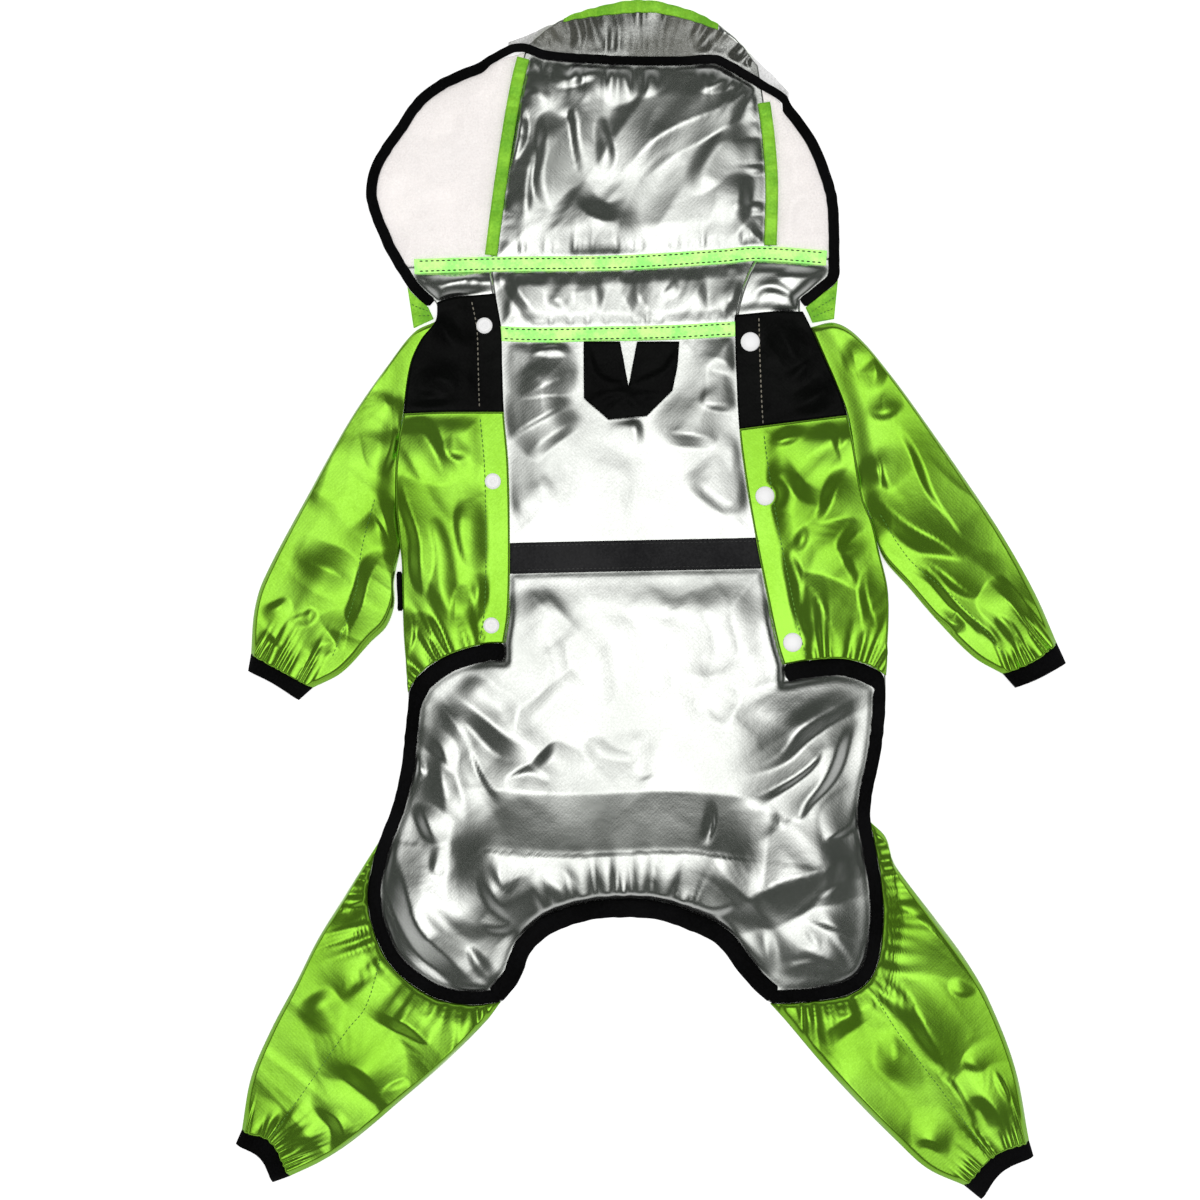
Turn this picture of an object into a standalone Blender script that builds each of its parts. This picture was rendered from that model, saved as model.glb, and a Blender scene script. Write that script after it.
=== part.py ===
"""A dog's hooded rain suit, laid flat on its back with the belly panels open.

X is the width, Y runs from the tail to the hood and Z is up from the floor. The silver-coated inside of the
back and hood faces up. The tables are in millimetres from the middle of the garment, and the meshes are in
metres.
"""

import math
from typing import NamedTuple

import bmesh
import bpy
from mathutils import Vector

MM = 0.001
WALL = 1.0  # cloth, tape and vinyl
GAP = 0.3  # between pieces that meet
BASE = WALL + GAP  # underside of what lies on the back
BINDING = 2.2  # thickness of a folded elastic binding
TAPE_WIDTH = 9.5
CUFF_WALL = 1.2
MOUTH_GAP = 1.2  # more than GAP, because a limb's mouth and the body's edge are faceted differently
CROTCH_SHARE = 0.22  # the column of the lower back that meets the left crotch, mirrored on the right

HEM_BINDING_WIDTH = 11.0
SIDE_BINDING_WIDTH = 8.0
TAIL_BINDING_WIDTH = 11.5
# Shares of their edges at which the bindings end, short of the next one
FLANK_END = 0.98
LEG_BINDING_END = 0.985
LEG_BINDING_INNER_END = 0.92
TAIL_BINDING_END = 0.98
RIM_WIDTH = 7.0
RIM_TOP_WIDTH = 5.5

WAIST_BAND_WIDTH = 20.0
SEAM_TAPE_WIDTH = 8.0
PLACKET_WIDTH = 15.5
TAPE_END = 10.0  # where a cross tape leaves its seam's line for the front edge
SIDE_TAB = (18.5, -7, 3.8)  # its ends along Y and its width
SNAP_SIDES = 12
SPAN_STEPS = 8  # points of a smooth line between two of its own

# Where the cloth is kept flat under what lies on it: from the edge of that piece, and up to its full folds
FLAT_MARGIN = 5.0
FOLD_MARGIN = 14.0
PLACKET_MARGIN = 8.0
CROWN_SIDES = (5.0, 12.0)
CROWN_RIM = (14.0, 24.0)
TAPE_MARGIN = 4.0
BAND_MARGIN = (1.0, 5.0)
LIMB_SIDES = (1.5, 9.0)
MOUTH_MARGIN = 4.0

# Outer heights of the tubes at the mouth, half way down and at the end
SLEEVE_HEIGHTS = (2.6, 3.6, 3.2)
LEG_HEIGHTS = (3.4, 3.8, 3.2)
CUFF_HEIGHTS = (3.2, 3.2, 3.2)
MOUTH_SHARE = 0.6  # share of a limb's length at which it starts to change towards its mouth
END_SHARE = 0.4  # and below which it changes towards its end

# Faces across or along each piece
BACK_COLUMNS = 18
LOBE_COLUMNS = 7
RUMP_COLUMNS = 22
BACK_ROWS = (10, 17)  # upper and lower piece
BELLY_COLUMNS = 18
BELLY_ROWS = 10
YOKE_COLUMNS = 8
YOKE_ROWS = (5, 1)  # below and above the shoulder
LIMB_COLUMNS = 14
LIMB_ROWS = 9
TUBE_FLOOR_COLUMNS = 10
CUFF_COLUMNS = 6
CROWN_COLUMNS = 28
CROWN_ROWS = 11
WINDOW_COLUMNS = 5
WINDOW_ROWS = (9, 1)  # beside the rim, and in its top corner
BRIM_COLUMNS = 20
CREST_COLUMNS = 10
BAND_COLUMNS = 28
BAND_ROWS = (1, 5, 1)  # under the neck tape, between the tapes and under the hood tape
BAND_END_COLUMNS = 6
BAND_END_ROWS = (2, 3)  # below and beside the rim
NECK_FOLD_COLUMNS = 4
CROSS_TAPE_STEPS = 16
HEM_STEPS = 12
FLANK_STEPS = 10
LEG_OPENING_STEPS = 20
TAIL_STEPS = 26
RIM_STEPS = (26, 24, 20)  # left, top and right
HOOD_TAPE_STEPS = 26
SEAM_TAPE_STEPS = 9
SIDE_TAB_STEPS = 3

# Colours, roughness and transmission of the materials
GREEN = ((0.27, 0.62, 0.02, 1), 0.35, 0.0)
SILVER = ((0.62, 0.64, 0.63, 1), 0.3, 0.0)
BLACK = ((0.012, 0.012, 0.014, 1), 0.6, 0.0)
YOKE_BLACK = ((0.015, 0.015, 0.018, 1), 0.35, 0.0)
FLUORESCENT = ((0.25, 0.95, 0.22, 1), 0.55, 0.0)
VINYL = ((0.9, 0.88, 0.87, 1), 0.15, 0.7)
WHITE = ((0.85, 0.85, 0.85, 1), 0.3, 0.0)


class Station(NamedTuple):
    """A point on one of the garment's outlines."""

    name: str
    x: float
    y: float


class Fold(NamedTuple):
    """A ridge in the cloth from one point to another."""

    x0: float
    y0: float
    x1: float
    y1: float
    height: float
    spread: float


class Gather(NamedTuple):
    """A row of puckers along one edge of a piece: how many, how high, and how far they reach."""

    edge: str
    count: float
    depth: float
    reach: float


LEFT_SIDE = (
    Station("collar", -138, 193),
    Station("shoulder", -139, 181),
    Station("", -148, 169),
    Station("", -155, 153),
    Station("yoke", -160, 121),
    Station("", -164, 95),
    Station("", -165, 66),
    Station("underarm", -162, 34),
    Station("waist", -161, 24),
    Station("", -160, -12),
    Station("hem", -157, -60),
    Station("flank", -157, -68),
    Station("", -159, -86),
    Station("", -161, -106),
    Station("", -167, -133),
    Station("hip", -176, -157),
    Station("", -180, -171),
    Station("", -183, -190),
    Station("", -180, -212),
    Station("heel", -168, -237),
    Station("", -142, -257),
    Station("", -117, -262.5),
    Station("crotch", -97, -261),
)
TAIL = (
    Station("left", -96, -261),
    Station("", -90.5, -254.5),
    Station("", -84, -245),
    Station("", -77, -228),
    Station("", -63, -216),
    Station("", -40, -208),
    Station("", -17, -206),
    Station("", 5, -207.5),
    Station("", 27, -215),
    Station("", 44, -224),
    Station("", 57, -241),
    Station("", 64, -249),
    Station("", 71, -256),
    Station("right", 77, -261),
)
RIGHT_SIDE = (
    Station("collar", 99, 187),
    Station("shoulder", 104, 177),
    Station("", 112, 159),
    Station("", 120, 141),
    Station("yoke", 128, 120),
    Station("", 133, 92),
    Station("", 138, 65),
    Station("underarm", 144, 50),
    Station("waist", 148, 33),
    Station("", 154, 4),
    Station("hem", 153, -49),
    Station("flank", 153, -60),
    Station("", 152, -80),
    Station("", 149, -103),
    Station("", 144, -127),
    Station("hip", 143, -144),
    Station("", 146, -160),
    Station("", 150, -185),
    Station("", 151, -210),
    Station("heel", 146, -240),
    Station("", 133, -254),
    Station("", 108, -260),
    Station("crotch", 78, -262),
)
FRONT_LEFT = (
    Station("top", -101, 199),
    Station("", -97, 178),
    Station("", -96, 150),
    Station("yoke", -95, 122),
    Station("", -92, 88),
    Station("", -91, 30),
    Station("", -92, -8),
    Station("hem", -95, -28),
)
FRONT_RIGHT = (
    Station("top", 55, 185),
    Station("", 56, 150),
    Station("yoke", 58, 111),
    Station("", 61, 86),
    Station("", 67, 49),
    Station("", 75, 8),
    Station("", 83, -29),
    Station("hem", 87, -42),
)
LEG_LEFT = (
    ((-176, -157), (-185, -171), (-200, -195), (-216, -221), (-229, -247), (-246, -279), (-259, -310),
     (-265, -344)),
    ((-97, -261), (-106, -273), (-132, -299), (-162, -325), (-193, -351), (-213, -364), (-234, -374)),
    ((-265, -344), (-246, -351), (-234, -374)),
    ((-269, -353), (-253, -362), (-245, -378)),
)
LEG_RIGHT = (
    ((143, -144), (153, -154), (158, -170), (166, -182), (186, -208), (205, -234), (220, -260),
     (237, -304), (246, -351)),
    ((78, -262), (88, -273), (110, -299), (134, -325), (160, -351), (180, -369), (204, -380)),
    ((204, -380), (224, -359), (246, -351)),
    ((215, -389), (228, -371), (249, -361)),
)
SLEEVE_LEFT = (
    ((-139, 181), (-153, 174), (-169, 154), (-194, 118), (-222, 68), (-251, 13), (-257, -8), (-259, -35)),
    ((-162, 34), (-166, 13), (-166, -3), (-171, -17), (-181, -27), (-200, -47), (-219, -57)),
    ((-259, -35), (-241, -45), (-219, -57)),
    ((-261, -46), (-245, -54), (-228, -65)),
)
SLEEVE_RIGHT = (
    ((104, 177), (120, 180), (135, 171), (157, 145), (181, 112), (204, 79), (228, 43), (250, 4),
     (264, -28)),
    ((144, 50), (151, 28), (168, 8), (187, -14), (210, -37), (229, -48)),
    ((229, -48), (248, -40), (264, -28)),
    ((237, -57), (252, -51), (270, -41)),
)

# Seams and lines on the body, each from left to right
WAIST_SEAM = ((-161, 24), (-91, 27), (0, 29), (69, 30.5), (148, 33))
NECK_SEAM = ((-139, 181), (-97, 173), (-20, 173), (20, 174), (55, 176), (104, 177))
YOKE_SEAM_LEFT = ((-160, 121), (-136, 122), (-95, 122))
YOKE_SEAM_RIGHT = ((58, 111), (96, 116), (128, 120))
YOKE_TOP_LEFT = ((-138, 193), (-129, 196), (-101, 199))
YOKE_TOP_RIGHT = ((55, 185), (78, 187), (99, 187))
HEM_LEFT = ((-157, -60), (-151, -50), (-142, -42), (-127, -34), (-107, -28.5), (-95, -28))
HEM_RIGHT = ((87, -42), (105, -39), (124, -38), (141, -42), (153, -49))

# The hood: each line from left to right, or from its lower end up
RIM_LEFT = (
    (-144, 190), (-155, 200), (-163, 212), (-175, 234), (-184, 259), (-184, 273), (-179, 287), (-162, 312),
    (-153, 325), (-136, 338), (-109, 349.5),
)
RIM_TOP = ((-106, 349), (-89, 358), (-80, 358), (-69, 354), (-36, 351), (-2, 350), (22, 350), (42, 351),
           (55, 345),
           (75, 333), (89, 324.5))
RIM_RIGHT = ((101, 190), (111, 198), (122, 208), (123, 222), (122, 258), (117, 278), (109, 297),
             (100, 311), (90, 323))
TAPE_LINE = ((-153, 216.5), (-136, 217), (-104, 218), (-20, 219), (46, 223), (70, 225), (114.5, 222))
SEAM_TAPE_ENDS = ((0.04, 0.94), (0.045, 0.8))  # shares of the two side seams
SEAM_TIPS = (0.97, 0.88)  # shares of them at which the windows end
WINDOW_CORNERS = ((-105.2, 348), (84.5, 323.5))
BAND_ENDS = (0.03, 0.975)  # shares of the neck seam at which the hood band starts and ends
SEAM_LEFT = ((-104, 218), (-98, 264), (-92, 304), (-86, 337), (-80, 360))
SEAM_RIGHT = ((78, 224), (79, 270), (77, 299), (74, 322), (70, 347))
BAND_SEAM_LEFT = ((-97, 173), (-101, 195), (-104, 218))
BAND_SEAM_RIGHT = ((55, 176), (60, 200), (70, 225))
CROWN_FOLD = ((-80, 360), (-58, 376), (-32, 385), (-6, 388.5), (26, 382), (52, 367), (70, 347))
BRIM_EDGE = ((-92, 362), (-78, 367), (-62, 373.5), (-25, 379.5), (9, 379.5), (46, 368), (64, 355), (79, 341),
             (90, 329.5))
CREST_ENDS = (-56, 44)
NECK_FOLD_LEFT = ((-153.5, 176.5), (-140.5, 182.5))
NECK_FOLD_RIGHT = ((105.5, 180), (119.5, 182.5))
NECK_FOLD_ENDS = ((-158, 203), (122, 208))  # where the two folds leave the rim

# The hang loop: a wide strap folded to a point, with a notch between its legs
HANG_LOOP = (
    (-43, 167.5), (-19.5, 167.5), (-14, 138.5), (-8.5, 167.5), (19, 167.5), (17.5, 151), (14.5, 136),
    (-2, 119.5),
    (-27, 117), (-43, 131),
)
LOOP_THICKNESS = 1.6
LOOP_CENTRE = Vector((-12, 142))
LOOP_REACH = 36.0  # covers the loop from its centre

# Snaps: side, name, x, y
SNAPS = (
    ("l", "top", -107.5, 178), ("l", "mid", -102, 77), ("l", "low", -103, -16.5),
    ("r", "top", 65, 167.5), ("r", "mid", 74.5, 67.5), ("r", "low", 92.5, -27.5),
)
SOCKET_PROFILE = ((0, 0.9), (2.0, 0.9), (2.5, 1.8), (4.3, 1.8), (5.2, 0.8), (5.2, 0), (0, 0))
CAP_PROFILE = ((0, 2.4), (3.6, 2.2), (5.4, 1.5), (6.2, 0.6), (6.2, 0), (0, 0))

FOLDS = {
    "back_upper": (
        Fold(-80, 128, -45, 108, 2.2, 7), Fold(-78, 92, -20, 100, 1.8, 8), Fold(-10, 98, 45, 80, 2.0, 9),
        Fold(-60, 66, 20, 72, 1.4, 8), Fold(30, 130, 40, 100, 1.6, 7), Fold(-84, 60, -60, 45, 1.4, 6),
    ),
    "back_lower": (
        Fold(-100, -122, 52, -121, 3.0, 8), Fold(-112, -160, 75, -162, 1.8, 10),
        Fold(-142, -66, -105, -92, 2.4, 7),
        Fold(-140, -84, -118, -128, 2.2, 7), Fold(128, -60, 76, -104, 2.6, 8),
        Fold(132, -84, 84, -126, 2.2, 7),
        Fold(-136, -112, -134, -172, 2.6, 7), Fold(-150, -150, -118, -216, 2.0, 7),
        Fold(112, -112, 96, -176, 2.2, 7),
        Fold(125, -130, 108, -214, 2.0, 7), Fold(-96, -176, -92, -206, 1.8, 6),
        Fold(60, -178, 66, -222, 1.8, 6),
        Fold(-60, -14, -10, -34, 1.4, 9), Fold(10, -60, 60, -48, 1.4, 9),
    ),
    "belly_l": (
        Fold(-142, 116, -128, 70, 2.6, 7), Fold(-156, 84, -126, 28, 2.4, 7),
        Fold(-118, 108, -110, 44, 1.8, 6),
        Fold(-146, 36, -122, -10, 2.4, 7), Fold(-150, 8, -144, -30, 2.0, 6),
    ),
    "belly_r": (
        Fold(84, 100, 96, 52, 2.4, 7), Fold(112, 106, 104, 40, 2.4, 7), Fold(124, 70, 116, 12, 2.2, 7),
        Fold(96, 34, 108, -14, 2.2, 7), Fold(142, 30, 134, -20, 2.2, 7),
    ),
    "belly_yoke_l": (Fold(-148, 150, -118, 132, 1.6, 7), Fold(-136, 186, -126, 156, 1.6, 6)),
    "belly_yoke_r": (Fold(100, 172, 112, 136, 1.6, 7), Fold(80, 134, 104, 124, 1.4, 6)),
    "sleeve_l": (
        Fold(-160, 132, -216, 42, 1.6, 8), Fold(-176, 90, -190, 24, 1.6, 8),
        Fold(-178, 60, -206, -20, 1.6, 8),
        Fold(-206, 92, -246, 6, 1.4, 7), Fold(-172, 34, -184, 2, 1.4, 7),
    ),
    "sleeve_r": (
        Fold(126, 156, 172, 96, 1.6, 8), Fold(146, 96, 202, 24, 1.6, 8), Fold(152, 62, 188, 12, 1.6, 7),
        Fold(186, 84, 236, -2, 1.6, 8), Fold(196, 24, 226, -18, 1.4, 7),
    ),
    "leg_l": (
        Fold(-190, -196, -232, -276, 1.4, 8), Fold(-178, -240, -240, -326, 1.6, 8),
        Fold(-146, -268, -214, -342, 1.6, 8),
        Fold(-118, -276, -158, -312, 1.4, 7), Fold(-202, -232, -226, -302, 1.4, 7),
    ),
    "leg_r": (
        Fold(160, -196, 206, -270, 1.4, 8), Fold(152, -240, 222, -322, 1.6, 8),
        Fold(122, -270, 196, -346, 1.6, 8),
        Fold(96, -272, 132, -310, 1.4, 7), Fold(182, -228, 226, -316, 1.4, 7),
    ),
    "hood_crown": (
        Fold(-8, 344, 0, 322, 2.4, 7), Fold(58, 328, -24, 262, 2.8, 8), Fold(-52, 268, -44, 250, 2.2, 6),
        Fold(-42, 250, -22, 240, 2.2, 6), Fold(-22, 240, -6, 252, 2.0, 6), Fold(-70, 320, -84, 262, 1.8, 7),
        Fold(20, 300, 52, 250, 1.8, 8), Fold(-52, 330, -50, 296, 1.6, 7),
    ),
}
GATHERS = {
    "back_lower": (Gather("bottom", 18, 2.2, 38),),
    "back_upper": (Gather("top", 10, 0.9, 12),),
    "belly_l": (Gather("bottom", 9, 2.2, 28),),
    "belly_r": (Gather("bottom", 9, 2.2, 28),),
    "sleeve_l": (Gather("bottom", 7, 1.7, 28),),
    "sleeve_r": (Gather("bottom", 7, 1.7, 28),),
    "leg_l": (Gather("bottom", 7, 1.7, 28), Gather("top", 7, 1.7, 28)),
    "leg_r": (Gather("bottom", 7, 1.7, 28), Gather("top", 7, 1.7, 28)),
    "hood_crown": (Gather("bottom", 16, 1.5, 20),),
    "hood_band": (Gather("top", 14, 2.4, 16), Gather("bottom", 14, 2.4, 16)),
}


class Line:
    """A line of points that is read by its length."""

    def __init__(self, points):
        self.points = [Vector(p) for p in points]
        self.reached = [0.0]
        for a, b in zip(self.points, self.points[1:]):
            self.reached.append(self.reached[-1] + (b - a).length)

    @property
    def length(self):
        return self.reached[-1]

    def at(self, t):
        """The point at the share t of the line's length."""
        goal = min(max(t, 0.0), 1.0) * self.length
        for i in range(1, len(self.points)):
            if self.reached[i] >= goal or i == len(self.points) - 1:
                step = self.reached[i] - self.reached[i - 1]
                return self.points[i - 1].lerp(self.points[i], (goal - self.reached[i - 1]) / step)
        return self.points[-1]

    def normal(self, i):
        """The direction to the left of travel at a point."""
        before = self.points[max(i - 1, 0)]
        after = self.points[min(i + 1, len(self.points) - 1)]
        along = (after - before).normalized()
        return Vector((-along.y, along.x))

    def moved(self, distance):
        """The line moved to the left of its travel."""
        return Line([p + self.normal(i) * distance for i, p in enumerate(self.points)])

    def backwards(self):
        return Line(self.points[::-1])

    def joined(self, other):
        return Line(self.points + other.points[1:])

    def part(self, start, end):
        """The stretch between two shares of the length."""
        count = max(2, len(self.points))
        return Line([self.at(start + (end - start) * i / (count - 1)) for i in range(count)])

    def nearest(self, measure):
        """The number of the point for which a measure is least."""
        return min(range(len(self.points)), key=lambda i: measure(self.points[i]))

    def on(self, point):
        """The line's nearest point to a given one."""
        return self.at(self.share(point))

    def distance(self, point):
        return (self.on(point) - Vector(point)).length

    def share(self, point):
        """The share of the length at the place nearest to a given point."""
        point = Vector(point)
        best = (math.inf, 0.0)
        for i, (a, b) in enumerate(zip(self.points, self.points[1:])):
            run = b - a
            t = min(max((point - a).dot(run) / run.length_squared, 0.0), 1.0)
            best = min(best, ((point - a.lerp(b, t)).length, self.reached[i] + run.length * t))
        return best[1] / self.length

    def from_point(self, point):
        """The line with its first point moved to a given one."""
        return Line([point] + self.points[1:])

    def to_point(self, point):
        return Line(self.points[:-1] + [point])

    def x_at(self, y):
        """Where a line that runs along Y crosses a height."""
        return self.points[self.nearest(lambda p: abs(p.y - y))].x

    def y_at(self, x):
        return self.points[self.nearest(lambda p: abs(p.x - x))].y

    def from_x(self, x0, x1):
        """The stretch of a line that runs along X between two places."""
        return self.part(self.share((x0, self.y_at(x0))), self.share((x1, self.y_at(x1))))

    def from_y(self, y0, y1):
        return self.part(self.share((self.x_at(y0), y0)), self.share((self.x_at(y1), y1)))


def smooth_points(points):
    """Points along a smooth line through the given ones."""
    points = [Vector(p) for p in points]
    last = len(points) - 1
    ways = [(points[min(i + 1, last)] - points[max(i - 1, 0)]).normalized() for i in range(last + 1)]
    found = [points[0]]
    for i in range(last):
        reach = (points[i + 1] - points[i]).length / 3
        for k in range(1, SPAN_STEPS + 1):
            t = k / SPAN_STEPS
            a, b = points[i], points[i] + ways[i] * reach
            c, d = points[i + 1] - ways[i + 1] * reach, points[i + 1]
            found.append(a * (1 - t) ** 3 + b * 3 * t * (1 - t) ** 2 + c * 3 * t * t * (1 - t) + d * t ** 3)
    return found


def smooth(points):
    return Line(smooth_points(points))


class Keyed:
    """A line whose shares are set at keys, each a row of (share asked for, share of the line)."""

    def __init__(self, line, keys):
        self.line, self.keys = line, keys

    def at(self, t):
        for (t0, s0), (t1, s1) in zip(self.keys, self.keys[1:]):
            if t <= t1:
                return self.line.at(s0 + (s1 - s0) * (t - t0) / (t1 - t0))
        return self.line.at(1.0)


class Outline:
    """A smooth line through named stations, cut between any two of them."""

    def __init__(self, stations):
        self.stations = stations
        self.names = [s.name for s in stations]
        self.points = smooth_points([(s.x, s.y) for s in stations])

    def index(self, name):
        return self.names.index(name) * SPAN_STEPS

    def between(self, start, end):
        i, j = self.index(start), self.index(end)
        if i <= j:
            return Line(self.points[i:j + 1])
        return Line(self.points[j:i + 1][::-1])


class Patch:
    """Cloth stretched between four lines: u runs from left to right and v from bottom to top."""

    def __init__(self, bottom, top, left=None, right=None):
        self.bottom, self.top = bottom, top
        self.left = left or Line([bottom.at(0), top.at(0)])
        self.right = right or Line([bottom.at(1), top.at(1)])

    @property
    def width(self):
        return (self.left.at(0.5) - self.right.at(0.5)).length

    @property
    def height(self):
        return (self.top.at(0.5) - self.bottom.at(0.5)).length

    def at(self, u, v):
        """The point at u, v, kept half a gap inside every edge."""
        edge_u = GAP / 2 / max(self.width, 1)
        edge_v = GAP / 2 / max(self.height, 1)
        u = edge_u + (1 - 2 * edge_u) * u
        v = edge_v + (1 - 2 * edge_v) * v
        along = self.bottom.at(u).lerp(self.top.at(u), v)
        across = self.left.at(v).lerp(self.right.at(v), u)
        low = self.bottom.at(0).lerp(self.bottom.at(1), u)
        high = self.top.at(0).lerp(self.top.at(1), u)
        return along + across - low.lerp(high, v)


def ease(value, low, high):
    """A smooth step from 0 at low to 1 at high."""
    t = min(max((value - low) / (high - low), 0.0), 1.0)
    return t * t * (3 - 2 * t)


def key_rows(keys, counts):
    """Even shares between keys, with a number of steps for each stretch."""
    rows = [keys[0]]
    for low, high, count in zip(keys, keys[1:], counts):
        rows += [low + (high - low) * (i + 1) / count for i in range(count)]
    return rows


def even(count):
    return [i / count for i in range(count + 1)]


def crowded(count, bottom=1.0, top=1.0):
    """Shares from 0 to 1, closer together at an end whose weight is over 1."""
    sizes = [1 / (bottom + (top - bottom) * i / (count - 1)) for i in range(count)]
    return [sum(sizes[:i]) / sum(sizes) for i in range(count + 1)]


def fold_height(name, point):
    """How far a piece's folds lift it at a point."""
    height = 0.0
    for fold in FOLDS.get(name, ()):
        start, end = Vector((fold.x0, fold.y0)), Vector((fold.x1, fold.y1))
        run = end - start
        t = min(max((point - start).dot(run) / run.length_squared, 0.0), 1.0)
        away = (point - start.lerp(end, t)).length
        strength = 0.55 + 0.45 * math.sin(math.pi * t)
        height = max(height, fold.height * strength * math.exp(-(away / fold.spread) ** 2))
    return height


def gather_height(name, patch, u, v):
    """How far the puckers along a piece's edges lift it."""
    height = 0.0
    for gather in GATHERS.get(name, ()):
        away = patch.height * (v if gather.edge == "bottom" else 1 - v)
        wave = 0.5 - 0.5 * math.cos(2 * math.pi * gather.count * u)
        uneven = 0.75 + 0.25 * math.sin(5.3 * gather.count * u + len(name))
        fade = math.exp(-((away / gather.reach) ** 2)) * ease(away, 0.0, 3.0)
        height += gather.depth * wave * uneven * fade
    return height


garment = None


def material(name, finish):
    colour, roughness, transmission = finish
    made = bpy.data.materials.new(name)
    made.use_nodes = True
    shader = made.node_tree.nodes["Principled BSDF"]
    shader.inputs["Base Color"].default_value = colour
    shader.inputs["Roughness"].default_value = roughness
    shader.inputs["Transmission Weight"].default_value = transmission
    shader.inputs["Metallic"].default_value = 0.7 if finish is SILVER else 0.0
    return made


def add(name, data, finish):
    """Puts a mesh or curve in the garment under a node's name."""
    piece = bpy.data.objects.new(name, data)
    data.materials.append(material(name, finish))
    garment.objects.link(piece)
    return piece


def thicken(piece, wall, offset):
    solid = piece.modifiers.new("Wall", "SOLIDIFY")
    solid.thickness = wall * MM
    solid.offset = offset


def cloth(name, patch, columns, rows, finish, base=0.0, wall=WALL, lift=None):
    """A wall of cloth over a patch, from a grid lifted by its folds and gathers."""
    grid = bmesh.new()
    bmesh.ops.create_grid(grid, x_segments=len(columns) - 1, y_segments=len(rows) - 1, size=0.5)
    for vertex in grid.verts:
        u = columns[round((vertex.co.x + 0.5) * (len(columns) - 1))]
        v = rows[round((vertex.co.y + 0.5) * (len(rows) - 1))]
        point = patch.at(u, v)
        rise = fold_height(name, point) + gather_height(name, patch, u, v)
        rise *= lift(point, u, v) if lift else 1.0
        vertex.co = (point.x * MM, point.y * MM, (base + rise) * MM)
    mesh = bpy.data.meshes.new(name)
    grid.to_mesh(mesh)
    grid.free()
    mesh.shade_smooth()
    thicken(add(name, mesh, finish), wall, 1.0)


def strip(name, line, near, far, finish, steps, base=0.0, wall=WALL, rows=2):
    """A tape or binding along a line, between two distances to the left of it."""
    cloth(name, Patch(line.moved(near), line.moved(far)), even(steps), even(rows - 1), finish, base, wall)


def tube(name, patch, finish, columns, rows, mouth, middle, end, wall=WALL):
    """A flattened tube over a patch, open at its top and bottom, with folds and gathers on its upper wall.

    mouth, middle and end are its outer heights at the top, half way down and at the bottom.
    """
    turns = [("edge", 0.0)] + [("top", u) for u in even(columns)] + [("edge", 1.0)]
    turns += [("floor", 1 - u) for u in even(TUBE_FLOOR_COLUMNS)] + [("edge", 0.0)]
    grid = bmesh.new()
    bmesh.ops.create_grid(grid, x_segments=len(turns) - 1, y_segments=len(rows) - 1, size=0.5)
    for vertex in grid.verts:
        kind, u = turns[round((vertex.co.x + 0.5) * (len(turns) - 1))]
        v = rows[round((vertex.co.y + 0.5) * (len(rows) - 1))]
        height = end + (middle - end) * ease(v, 0, END_SHARE) + (mouth - middle) * ease(v, MOUTH_SHARE, 1)
        width = (patch.at(0, v) - patch.at(1, v)).length
        corner = height / 2 / width
        across = u if kind == "edge" else corner + (1 - 2 * corner) * u
        point = patch.at(across, v)
        z = {"edge": height / 2, "floor": 0.0, "top": height}[kind]
        if kind == "top":
            away = min(across, 1 - across) * width
            calm = ease(away, *LIMB_SIDES) * ease(patch.height * (1 - v), 0, MOUTH_MARGIN)
            z += (fold_height(name, point) + gather_height(name, patch, u, v)) * calm
        vertex.co = (point.x * MM, point.y * MM, z * MM)
    bmesh.ops.remove_doubles(grid, verts=grid.verts, dist=1e-7)
    mesh = bpy.data.meshes.new(name)
    grid.to_mesh(mesh)
    grid.free()
    mesh.shade_smooth()
    thicken(add(name, mesh, finish), wall, -1.0)


def lathe(name, x, y, z, profile, finish):
    """A turned piece from its profile, a row of (radius, height) from the top of the axis to its foot."""
    mesh = bpy.data.meshes.new(name)
    points = [(r * MM, 0.0, h * MM) for r, h in profile]
    mesh.from_pydata(points, [(i, i + 1) for i in range(len(points) - 1)], [])
    piece = add(name, mesh, finish)
    piece.location = (x * MM, y * MM, z * MM)
    screw = piece.modifiers.new("Turn", "SCREW")
    screw.steps = SNAP_SIDES
    screw.render_steps = SNAP_SIDES
    screw.use_merge_vertices = True
    screw.merge_threshold = 0.00002


left_side, right_side = Outline(LEFT_SIDE), Outline(RIGHT_SIDE)
tail = Outline(TAIL)
front_left, front_right = Outline(FRONT_LEFT), Outline(FRONT_RIGHT)
hem_left, hem_right = smooth(HEM_LEFT), smooth(HEM_RIGHT)
waist_seam, neck_seam = smooth(WAIST_SEAM), smooth(NECK_SEAM)
tape_line = smooth(TAPE_LINE)
seam_left, seam_right = [seam.from_point(tape_line.on(seam.at(0)))
                         for seam in (smooth(SEAM_LEFT), smooth(SEAM_RIGHT))]
rim_left, rim_top, rim_right = smooth(RIM_LEFT), smooth(RIM_TOP), smooth(RIM_RIGHT)
crown_fold = smooth(CROWN_FOLD)
tail_edge = tail.between("left", "right")
leg_opening_left = left_side.between("hip", "crotch")
leg_opening_right = right_side.between("hip", "crotch")


def exposed(point):
    """How far a point of the back lies outside the belly panels and their hems."""
    fronts = min(point.x - front_left.between("top", "hem").x_at(point.y),
                 front_right.between("top", "hem").x_at(point.y) - point.x)
    hem = hem_left if point.x < 0 else hem_right
    away = hem.distance(point) - HEM_BINDING_WIDTH
    return max(fronts, away if point.y < hem.y_at(point.x) else 0)


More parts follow.
